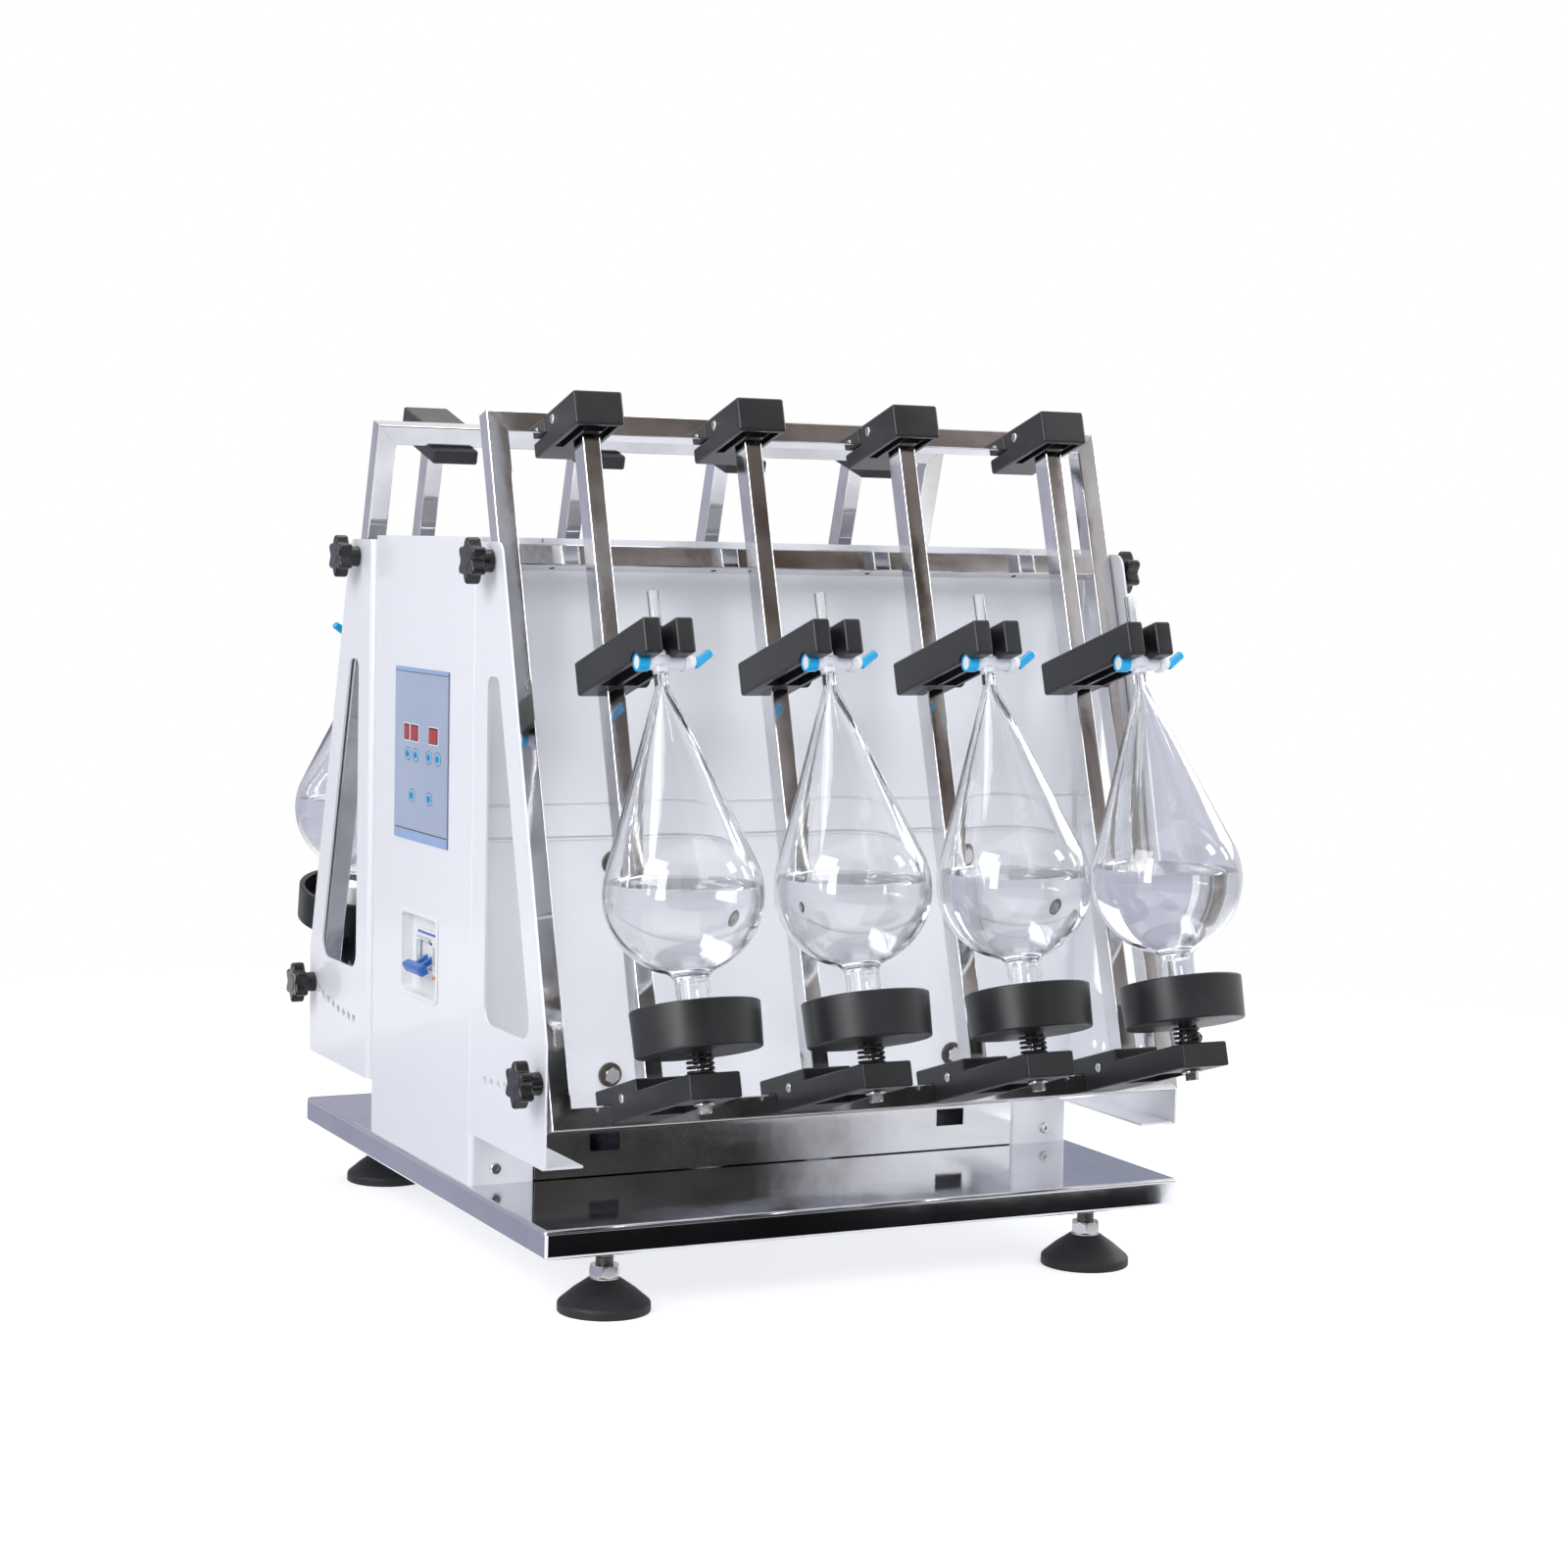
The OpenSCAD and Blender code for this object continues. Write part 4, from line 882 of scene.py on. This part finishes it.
def mitred_tube(length):
    """A square tube along X, its outer side at plus Z, mitred at both ends."""
    bm = block((-length / 2, -HALF_TUBE, -HALF_TUBE), (length / 2, HALF_TUBE, HALF_TUBE))
    ease(bm, TUBE_EDGE, only=longer_in_x(length / 2))
    for v in bm.verts:
        end = 1 if v.co.x > 0 else -1
        v.co.x = end * (length / 2 - MITRE_GAP - (HALF_TUBE - v.co.z))
    return bm


def rack_frame(place):
    side = RACK_W / 2 - HALF_TUBE
    tubes = [(RACK_W, 0, RACK_L - HALF_TUBE, 0), (RACK_W, 0, HALF_TUBE, math.pi),
             (RACK_L, -side, RACK_L / 2, -QUARTER), (RACK_L, side, RACK_L / 2, QUARTER)]
    parts = [moved(mitred_tube(length), at(x, HALF_TUBE, s) @ spun(turn, "Y"))
             for length, x, s, turn in tubes]
    inner = RACK_W / 2 - TUBE - RAIL_GAP
    rail = block((-inner, 0, RAIL_S), (inner, TUBE, RAIL_S + TUBE))
    ease(rail, TUBE_EDGE, only=longer_in_x(inner))
    holes = [moved(pin(2.6, -2, 6, 20), along(k) @ at(x, HALF_TUBE, RAIL_S))
             for k in range(4) for x in (-25, 25)]
    return moved(joined(*parts, cut(rail, joined(*holes))), place)


on_both_racks("rack_frame", rack_frame, TUBE_STEEL, "stainless", "rack")

# %% Station bars
BAR_HALF, BAR_NEAR, BAR_FAR = 8, 24, 46


def station_bars(place):
    bar = ease(block((-BAR_HALF, -BAR_FAR, 8), (BAR_HALF, -BAR_NEAR, 612)), 1.2)
    return copies(bar, four(place), TUBE_STEEL)


on_both_racks("station_bars", station_bars, TUBE_STEEL, "stainless", "bars")

# %% [markdown]
# ## Moulded blocks
# The black blocks are mouldings: soft edges outside and hollow below. Each outline is sawn from a block,
# eased all round, and then cut with the tools for its pockets, its bar and its bolt.

# %% End blocks
BLOCK_HALF = 22.5


def sideways(outline):
    """An outline of n and s, given the width of a block along the rack."""
    bm = sawn([(-n, s) for n, s in outline], -BLOCK_HALF, BLOCK_HALF)
    return moved(bm, Matrix(((0, 0, 1, 0), (1, 0, 0, 0), (0, 1, 0, 0), (0, 0, 0, 1))))


def box_tool(u0, u1, n0, n1, s0, s1):
    return block((u0, -n1, s0), (u1, -n0, s1))


def bar_tool(gap, s0, s1):
    return box_tool(-BAR_HALF - gap, BAR_HALF + gap, BAR_NEAR - gap, BAR_FAR + gap, s0, s1)


def pocket_tools(middle, half, n0, n1, s0, s1):
    return [box_tool(side * middle - half, side * middle + half, n0, n1, s0, s1) for side in (-1, 1)]


def bottom_block():
    body = sideways([(-31, 19), (-31, 34), (57, 34), (57, 24), (165, 24), (165, 3), (0, 3), (0, 19)])
    ease(body, 1.8)
    bolt = moved(pin(3.4, 0, 30, 24), ON_AXIS)
    return cut(body, bar_tool(0.1, 8, 40), box_tool(-17.5, 17.5, 58, 123.5, 0, 14), bolt)


def top_block():
    low, under, ceiling = RACK_L - 33, RACK_L - 35, RACK_L - 12
    body = sideways([(-31, RACK_L - TUBE), (-31, low), (69, low), (69, RACK_L - 3), (0, RACK_L - 3),
                     (0, RACK_L - TUBE)])
    ease(body, 2.4)
    return cut(body, bar_tool(0.1, under, RACK_L - 10), box_tool(-9, 9, 50, 64, under, ceiling),
               *pocket_tools(13.5, 4, 5, 64, under, ceiling))


def end_blocks(place):
    return joined(copies(bottom_block(), four(place), BLACK), copies(top_block(), four(place), BLACK))


on_both_racks("blocks", end_blocks, BLACK, "black_plastic", "end_blocks")

# %% Socket screws in the block sides
SIDE_SCREWS = [(19, 609), (27.5, 21)]


def block_screws(place):
    spots = [spot @ at(-BLOCK_HALF, -n, s) @ spun(-QUARTER, "Y")
             for spot in four(place) for n, s in SIDE_SCREWS]
    return copies(socket_screw(4.2, 1.6, 3.8, 1.4), spots, ZINC)


on_both_racks("block_screws", block_screws, ZINC, "machine_steel", smooth=30)

# %% [markdown]
# ## Clamp blocks
# A clamp block slides down its bar until its grooved fingers press the stopcock onto the funnel. Its plan
# is a U round the stem, sawn and eased in one go so that the fingers are soft too. The groove, the bar
# hole and the hollow underside are cut after that.

# %% Clamps
CLAMP_LOW, CLAMP_HIGH = 364.5, 394.5
CLAMP_NEAR, CLAMP_FAR, CLAMP_SLOT = -13, -165, 6.4
RIBS = 20


def clamp_block():
    turns = [QUARTER - math.pi * k / 10 for k in range(11)]
    slot = [(CLAMP_SLOT * math.sin(t), -AXIS_N + CLAMP_SLOT * math.cos(t)) for t in reversed(turns)]
    plan = [(BLOCK_HALF, CLAMP_FAR), (BLOCK_HALF, CLAMP_NEAR), (-BLOCK_HALF, CLAMP_NEAR),
            (-BLOCK_HALF, CLAMP_FAR), (-CLAMP_SLOT, CLAMP_FAR), *slot, (CLAMP_SLOT, CLAMP_FAR)]
    body = ease(sawn(plan, CLAMP_LOW, CLAMP_HIGH), 2.6, 4, 50)
    groove = moved(pin(8.4, -30, 30, 40), ON_COCK)
    return cut(body, bar_tool(0.2, CLAMP_LOW - 2, CLAMP_HIGH + 2), groove,
               *pocket_tools(9.5, 7.5, 53, 125.5, CLAMP_LOW - 2, CLAMP_HIGH - 6))


def clamp_screw():
    knob = turned(eased_outline([(0, 23), (8.5, 23), (8.5, 34.5), (0, 34.5)], [0, 1.0, 1.6, 0], 4), 40)
    ribs = [moved(pin(0.9, 24, 33, 8), spun(2 * math.pi * k / RIBS, "Z") @ at(8.4, 0, 0))
            for k in range(RIBS)]
    return moved(joined(knob, pin(3, 8.5, 23.5, 24), *ribs), at(0, -35, CLAMP_LOW + 12) @ spun(QUARTER, "Y"))


for number in STATIONS:
    made = piece(f"clamp_block_{number}", joined(clamp_block(), clamp_screw()), f"clamp_body_{number}", BLACK,
                 "black_plastic", station(number), replaces=[f"clamp_{number}"])
print("clamp faces", len(made.data.polygons))

# %% [markdown]
# ## Cups and springs
# A cup is a short black dish on a guide bolt, pushed up by a spring. The cup is turned with a slight
# flare. The spring is a wire wound on a spiral by Geometry Nodes, one for each station, and rides on its
# rack.

# %% Cups with guide bolts
CUP_S = 42.5
CUP = eased_outline([(0, 0), (51.6, 0), (53, 37.5), (47, 37.5), (46.4, 6), (0, 6)],
                    [0, 2.0, 1.6, 1.6, 3.0, 0], 4)
CUP_BOSS = [(0, -9), (5.4, -9), (6, -8.4), (6, 1), (0, 1)]
CUP_WASHER = eased_outline([(3.2, 0.6), (8.5, 0.6), (8.5, 2.6), (3.2, 2.6)], [0, 0.4, 0.4, 0], 2)


def cup_dish():
    return moved(joined(turned(CUP, 96), turned(CUP_BOSS, 32)), at(0, -AXIS_N, CUP_S))


def guide_bolt():
    thread = moved(wound(2.95, 7, 8, 0.32, ZINC, 6, 20), at(0, 0, -4))
    nut, washer = hexagon(10, -6, 0.8, 1.0), turned(CUP_WASHER, 32)
    return moved(joined(pin(3, -4, 43.5, 24), thread, nut, washer), ON_AXIS)


for number in STATIONS:
    body = f"cup_body_{number}"
    piece(f"cup_dish_{number}", cup_dish(), body, BLACK, "black_plastic", station(number),
          replaces=[f"cup_{number}"])
    made = piece(f"cup_bolt_{number}", guide_bolt(), body, ZINC, "machine_steel", station(number), smooth=30)
print("cups", len(STATIONS), "bolt faces", len(made.data.polygons))

# %% Springs
SPRING_LOW, SPRING_HIGH, SPRING_R, SPRING_WIRE = 24.1, 42.4, 10.3, 1.2
spring_height = SPRING_HIGH - SPRING_LOW
for number in STATIONS:
    coil = wound(SPRING_R, 4, spring_height - 2 * SPRING_WIRE, SPRING_WIRE, SPRING_BLACK, 12, 36)
    moved(coil, at(0, -AXIS_N, SPRING_LOW + SPRING_WIRE))
    made = piece(f"cup_spring_{number}", coil, f"{rack_of(number)}_tilt", SPRING_BLACK, "dark_steel",
                 station(number), smooth=60, flat=False, replaces=[f"{rack_of(number)}_springs"])
    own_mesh(made)
print("springs", len(STATIONS), "faces", len(made.data.polygons))

# %% [markdown]
# ## Glass funnels
# A pear funnel stands on its mouth: neck, round bulb, long cone, stopcock and stem. Clear glass is only
# convincing with a true wall, so the profile runs up the outside and back down the inside before it is
# turned. The water inside is a second solid, the inner profile cut level with the floor, because water
# stays level while the funnel leans.

# %% Funnel profile
BULB_S, BULB_R, WALL, CONE = 170.0, 65.5, 2.5, math.radians(20.4)
MOUTH_R, MOUTH_S, NECK_R, STEM_R, STEM_S = 14.2, 58.0, 6.0, 4.8, 423.0
NECK_S = BULB_S + (BULB_R / math.cos(CONE) - NECK_R) / math.tan(CONE)
THROAT = 9.0
THROAT_S = BULB_S - math.sqrt((BULB_R + THROAT) ** 2 - (MOUTH_R + THROAT) ** 2)
BORE_R, STEM_WALL = 2.2, 1.0


def pear(inset, steps=26):
    """The neck, its throat and the bulb up to the cone, set in by the wall or by nothing."""
    middle = MOUTH_R + THROAT
    join = math.atan2(BULB_S - THROAT_S, -middle)
    throat = [math.pi + (join - math.pi) * k / 8 for k in range(9)]
    low = join - math.pi
    bulb = [low + (CONE - low) * k / steps for k in range(1, steps + 1)]
    return arc(middle, THROAT_S, THROAT + inset, throat) + arc(0, BULB_S, BULB_R - inset, bulb)


def funnel_outside():
    lip = eased_outline([(MOUTH_R - WALL, MOUTH_S), (MOUTH_R + 1.5, MOUTH_S), (MOUTH_R + 1.5, MOUTH_S + 4),
                         (MOUTH_R, MOUTH_S + 6.5)], [0, 1.0, 1.0, 1.0], 3)
    return lip + pear(0.0) + [(NECK_R + 0.3, NECK_S - 2), (NECK_R, NECK_S + 3), (NECK_R, COCK_S - 2)]


def funnel_inside():
    return [(BORE_R, COCK_S - 2), (BORE_R, NECK_S - 4)] + pear(WALL)[::-1]


def funnel_glass(place):
    body = turned(funnel_outside() + funnel_inside(), 96)
    inner = STEM_R - STEM_WALL
    stem = turned([(BORE_R, COCK_S + 4), (5.4, COCK_S + 4), (STEM_R, COCK_S + 14), (STEM_R, STEM_S - 0.4),
                   (STEM_R - 0.4, STEM_S), (inner, STEM_S), (inner, COCK_S + 14)], 48)
    return copies(moved(joined(body, stem), ON_AXIS), four(place), GLASS)


for made in on_both_racks("funnel_glass", funnel_glass, GLASS, "glass", "funnels", smooth=60, flat=False):
    made.visible_shadow = False

# %% Water, level with the floor
WATER_Z, WATER_GAP = 378.0, 0.25


def water_body(place):
    """The inside of one funnel, up to the level of the water, in the upright frame."""
    inner = pear(WALL + WATER_GAP, 40)
    bm = turned([(0, inner[0][1])] + inner + [(3, NECK_S - 8), (0, NECK_S - 8)], 96)
    moved(bm, place @ ON_AXIS)
    half = bmesh.ops.bisect_plane(bm, geom=bm.verts[:] + bm.edges[:] + bm.faces[:], plane_co=(0, 0, WATER_Z),
                                  plane_no=(0, 0, 1), clear_outer=True)
    rim = [e for e in half["geom_cut"] if isinstance(e, bmesh.types.BMEdge)]
    bmesh.ops.contextual_create(bm, geom=rim)
    bmesh.ops.recalc_face_normals(bm, faces=bm.faces)
    return bm


def rack_water(place):
    return joined(*[water_body(spot) for spot in four(place)])


for made in on_both_racks("water", rack_water, WATER, "glass", smooth=50, flat=False):
    made.visible_shadow = False

# %% Stoppers and stopcock barrels
STOPPER = eased_outline([(0, 49.4), (17, 49.4), (17, 57.9), (11.4, 57.9), (11.1, 84), (0, 84)],
                        [0, 1.5, 1.0, 0, 1.0, 0], 3)
BARREL = eased_outline([(3.65, -11), (6.5, -11), (6.5, 19.5), (8.1, 19.5), (8.1, 24.6), (3.65, 24.6)],
                       [0, 1.0, 0.6, 0.8, 0.8, 0], 3)
LOWER_SOCKET = [(BORE_R, COCK_S - 9), (6.4, COCK_S - 9), (7.0, COCK_S - 5), (BORE_R, COCK_S - 5)]
UPPER_SOCKET = [(BORE_R, COCK_S + 4.5), (6.4, COCK_S + 4.5), (5.6, COCK_S + 9), (BORE_R, COCK_S + 9)]


def along_rack(profile):
    return moved(turned(profile, 40), ON_COCK)


def stoppers(place):
    return copies(moved(turned(STOPPER, 48), ON_AXIS), four(place), WHITE_PLASTIC)


def barrels(place):
    sockets = [moved(turned(profile, 32), ON_AXIS) for profile in (LOWER_SOCKET, UPPER_SOCKET)]
    return copies(joined(along_rack(BARREL), *sockets), four(place), BARREL_WHITE)


on_both_racks("stoppers", stoppers, WHITE_PLASTIC, "white_plastic")
on_both_racks("barrels", barrels, BARREL_WHITE, "white_plastic")

# %% [markdown]
# ## Stopcock plugs
# The plug turns in the barrel. It has a blue cap round a white end on one side and a white neck with a
# blue lever on the other.

# %% Plugs
PLUG_CAP = eased_outline([(5.9, -11.4), (7.8, -11.4), (7.8, -21), (5.9, -21)], [0, 0.6, 0.9, 0.4], 3)
PLUG_LEVER = eased_outline([(0, 3), (4.1, 3), (3.7, 22), (0, 22)], [0, 0.8, 1.4, 0], 4)
PLUG_CORE = eased_outline([(0, -20.4), (5.85, -20.4), (5.85, -12), (3.6, -11.4), (3.6, 25), (5.6, 25),
                           (5.0, 31), (0, 31)], [0, 0.8, 0, 0, 0, 0.8, 1.5, 0], 3)
LEVER_PLACE = at(28, -AXIS_N, COCK_S - 4) @ spun(math.radians(56), "Y")
for number in STATIONS:
    body = f"stopcock_body_{number}"
    blue = joined(along_rack(PLUG_CAP), moved(turned(PLUG_LEVER, 32), LEVER_PLACE))
    piece(f"stopcock_lever_{number}", blue, body, BLUE, "blue_plastic", station(number),
          replaces=[f"stopcock_{number}"])
    made = piece(f"stopcock_core_{number}", along_rack(PLUG_CORE), body, WHITE_PLASTIC, "white_plastic",
                 station(number))
print("stopcocks", len(STATIONS), "core faces", len(made.data.polygons))

# %% [markdown]
# ## Star knobs
# Eight black star knobs: the upper ones are the racks' pivots, the lower ones lock the tilt. The head is a
# six-lobed outline, sawn and eased, on a round hub with a stud.

# %% Knobs
KNOB_R, WING_X, LOCK_REACH = 20.0, 309.0, 448.0
PIVOT_STUD, LOCK_STUD = 13.5, 3.6
HUB = eased_outline([(0, 0.3), (10, 0.3), (9.2, 11.2), (0, 11.2)], [0, 0.8, 0, 0], 3)
DIMPLE = eased_outline([(0, 23.0), (9, 23.0), (8.4, 24.2), (0, 24.2)], [0, 0, 0.5, 0], 3)


def star(radius, lobes=6, steps=96):
    turns = [2 * math.pi * k / steps for k in range(steps)]
    waves = [radius * (0.855 + 0.145 * math.cos(lobes * t)) for t in turns]
    return [(r * math.cos(t), r * math.sin(t)) for t, r in zip(turns, waves)]


def star_knob(stud):
    head = ease(sawn(star(KNOB_R), 10.8, 23.8), 2.2, 3, 60)
    rod = turned([(0, -stud), (3.5, -stud), (3.9, -stud + 0.5), (3.9, 1), (0, 1)], 24)
    return joined(head, turned(HUB, 48), turned(DIMPLE, 40), rod)


for number in range(1, 9):
    left, rear, lock = number in (1, 2, 5, 6), number > 4, number % 2 == 0
    y = PIVOT_Y + (LOCK_REACH * math.sin(TILT) if lock else 0)
    z = PIVOT_Z - (LOCK_REACH * math.cos(TILT) if lock else 0)
    place = at(-WING_X if left else WING_X, y if rear else -y, z) @ spun(-QUARTER if left else QUARTER, "Y")
    made = piece(f"star_knob_{number}", star_knob(LOCK_STUD if lock else PIVOT_STUD), f"knob_body_{number}",
                 KNOB_BLACK, "black_plastic", place, replaces=[f"knob_{number}"])
print("knobs 8, faces", len(made.data.polygons))

# %% [markdown]
# ## Control panel
# A printed film on the left column: a grey-blue field between two lighter strips, three red display
# windows and six oval keys. The film is one thin sheet, and the windows and keys stand a hair proud of it.
# No words are printed on it. The windows carry dim seven-bar digits and each key a plain dark dot.

# %% Film, display windows and keys
COLUMN_X = -306.0
FILM_Y, FILM_Z, FILM_PROUD, PRINT_BACK, LINE_PROUD = (-74, 74), (372.5, 531.5), 0.6, 0.5, 0.75
WINDOW_LOW, WINDOW_HIGH = 464.5, 479.3
WINDOWS = [(33.3, 47.7), (8.7, 29.7), (-44.5, -20.3)]
KEYS = [(37, 451.7), (15, 451.7), (-21, 451.7), (-45, 451.7), (24.7, 414), (-22.6, 414)]
KEY_STRETCH = 1.35


def on_column(outline, proud, back):
    """A flat outline of y and z on the left column, standing proud of it."""
    bm = sawn([(-y, z) for y, z in outline], back, proud)
    return moved(bm, Matrix(((0, 0, -1, COLUMN_X), (-1, 0, 0, 0), (0, 1, 0, 0), (0, 0, 0, 1))))


def rectangle(y0, y1, z0, z1, radius=0.0):
    return eased_outline([(y0, z0), (y1, z0), (y1, z1), (y0, z1)], [radius] * 4, 4)


def printed(name, outlines, proud, material, slot="film", back=PRINT_BACK, soft=0.0):
    """A piece of thin flat shapes on the left column."""
    shapes = [on_column(outline, proud, back) for outline in outlines]
    if soft:
        shapes = [ease(shape, soft, 2, 50) for shape in shapes]
    return piece(name, joined(*shapes), "base", material, slot)


def windows(left, right, low, high, radius):
    """The outlines of all windows, with each side shifted."""
    return [rectangle(a + left, b + right, WINDOW_LOW + low, WINDOW_HIGH + high, radius) for a, b in WINDOWS]


def keys(radius, steps=32):
    turns = [2 * math.pi * k / steps for k in range(steps)]
    return [arc(y, z, radius, turns, KEY_STRETCH) for y, z in KEYS]


piece("panel_film", on_column(rectangle(*FILM_Y, *FILM_Z, 2), FILM_PROUD, 0.0), "base", FILM, "film",
      replaces=["control_panel"])
printed("panel_strips", [rectangle(-73, 73, 528.0, 531), rectangle(-73, 73, 373, 381)], LINE_PROUD,
        FILM_STRIP)
# The narrow dark strip down the film's front edge is a painted shadow of that edge; the two cross lines are
# print.
printed("panel_lines", [rectangle(-70, 70, 381.6, 382.6), rectangle(-73.5, -71.6, 373, 531),
                        rectangle(-73.5, 73.5, 527.0, 527.6)], LINE_PROUD, DARK_PRINT_AND_SHADE)
printed("panel_window_frames", windows(-1.4, 1.4, -0.9, 0.9, 0.8), 0.7, WHITE_PLASTIC)
printed("panel_windows", windows(0, 0, 0, 0, 0.6), 0.9, LED_DARK)
printed("panel_window_glow", windows(2.6, -1.4, 0.7, -1.7, 0.6), 1.0, LED_RED)
printed("panel_key_edges", keys(6.2), 0.68, DARK_PRINT_AND_SHADE)
printed("panel_key_rings", keys(5.2), 0.76, KEY_RING)
printed("panel_keys", keys(4.4), 1.1, KEY_BLUE, "blue_plastic", soft=0.3)
printed("panel_key_marks", keys(2.5), 1.2, KEY_DARK, "blue_plastic")
print("windows", len(WINDOWS), "keys", len(KEYS))

# %% Digits in the windows
SEGMENTS = [(0, 1, True), (0, 0, True), (0, -1, True), (-1, 0.5, False), (1, 0.5, False), (-1, -0.5, False),
            (1, -0.5, False)]
DIGIT_WIDE, DIGIT_TALL, DIGIT_THICK, DIGIT_Z = 2.6, 4.6, 0.55, 471.9
DIGITS = [40.5, 24.4, 14.0, -26.6, -38.4]


def segment(y, across, level, flat):
    """One of the seven bars round the middle of a digit."""
    y, z = y + across * DIGIT_WIDE, DIGIT_Z + level * DIGIT_TALL
    dy, dz = (DIGIT_WIDE - 0.7, DIGIT_THICK) if flat else (DIGIT_THICK, DIGIT_TALL / 2 - 0.6)
    return rectangle(y - dy, y + dy, z - dz, z + dz)


printed("panel_digits", [segment(y, *spot) for y in DIGITS for spot in SEGMENTS], 1.1, LED_LIT, back=0.6)
print("digits", len(DIGITS))

# %% [markdown]
# ## Breaker
# A two-pole breaker sits back in a white frame. The frame, its sloped throat and the breaker's front are
# separate moulded parts, and the two levers are tied by one blue bar that swings. The front is two plates,
# each cut on its own, because an exact cut of overlapping solids isn't dependable.

# %% Breaker frame and front
THROAT_OUTLINE = rectangle(-47, 47, 233, 305, 5)
MARK_BACK, LABEL_PROUD = -8, -5.7


def breaker_frame():
    rim = cut(on_column(rectangle(-51, 51, 229, 309, 7), 1.5, 0.0), on_column(THROAT_OUTLINE, 4, -8.0))
    ease(rim, 0.6, 2, 60)
    walls = on_column(rectangle(-48.8, 48.8, 231.2, 306.8, 6), 0.2, -12)
    return joined(rim, cut(walls, on_column(THROAT_OUTLINE, 4, -10)))


def toggle_hole():
    return on_column(rectangle(-18, 18, 256, 282), -4, -30)


def breaker_front():
    face = ease(on_column(rectangle(-27, 27, 246.5, 291.5, 1.2), -7.6, -9.9), 0.6, 2, 60)
    step = ease(on_column(rectangle(-26.8, 26.8, 252, 286, 1.0), -5.8, -8.5), 0.7, 2, 60)
    groove = on_column(rectangle(-0.4, 0.4, 240, 300), -5, -7)
    return joined(cut(face, toggle_hole()), cut(step, toggle_hole(), groove))


piece("breaker_frame", breaker_frame(), "base", WHITE_PLASTIC, "white_plastic", replaces=["breaker"])
piece("breaker_front", breaker_front(), "base", WHITE_PLASTIC, "white_plastic")
# The dark plate at the back of the toggle hole is painted shade for the depth of the hole.
printed("breaker_well", [rectangle(-18.2, 18.2, 255.8, 282.2)], -18, DARK_PRINT_AND_SHADE, "white_plastic", -19)
printed("breaker_band", [rectangle(-26, 26, 287.4, 289.8)], -7.4, TOGGLE_BLUE, "blue_plastic", MARK_BACK)
printed("breaker_mark", [[(-19.6, 249.0), (-25.4, 249.0), (-22.5, 254.0)]], -5.6, ORANGE,
        "blue_plastic", MARK_BACK)
printed("breaker_arrow", [[(-13.0, 284.6), (-13.0, 279.4), (-8.6, 282.0)]], LABEL_PROUD, DARK_PRINT_AND_SHADE,
        "white_plastic", MARK_BACK)
printed("breaker_labels", [rectangle(-16, 24, 283.2, 284.8), rectangle(20, 25, 262, 281),
                           rectangle(-25.5, -20, 262, 279)], LABEL_PROUD, GREY_MARK, "white_plastic",
        MARK_BACK)
print("breaker pieces 7")

# %% Tied toggle
TOGGLE_PIVOT, TOGGLE_LEAN = at(-290, 0, 269.0), spun(math.radians(-30), "Y")
TOGGLE_HUB = eased_outline([(0, -17.5), (6, -17.5), (6, 17.5), (0, 17.5)], [0, 0.6, 0.6, 0], 3)


def toggle():
    tie = ease(block((-27.5, -23, -5), (-18.5, 23, 5)), 2.4)
    posts = [ease(block((-20, y - 3, -2.5), (-1, y + 3, 2.5)), 0.8, 2) for y in (-8, 8)]
    hub = moved(turned(TOGGLE_HUB, 40), spun(QUARTER, "X"))
    return moved(joined(moved(joined(tie, *posts), TOGGLE_LEAN), hub), TOGGLE_PIVOT)


made = piece("breaker_tied_toggle", toggle(), "toggle", TOGGLE_BLUE, "blue_plastic",
             replaces=["breaker_toggle"])
print("toggle faces", len(made.data.polygons))

# %% Update the view layer
bpy.context.view_layer.update()
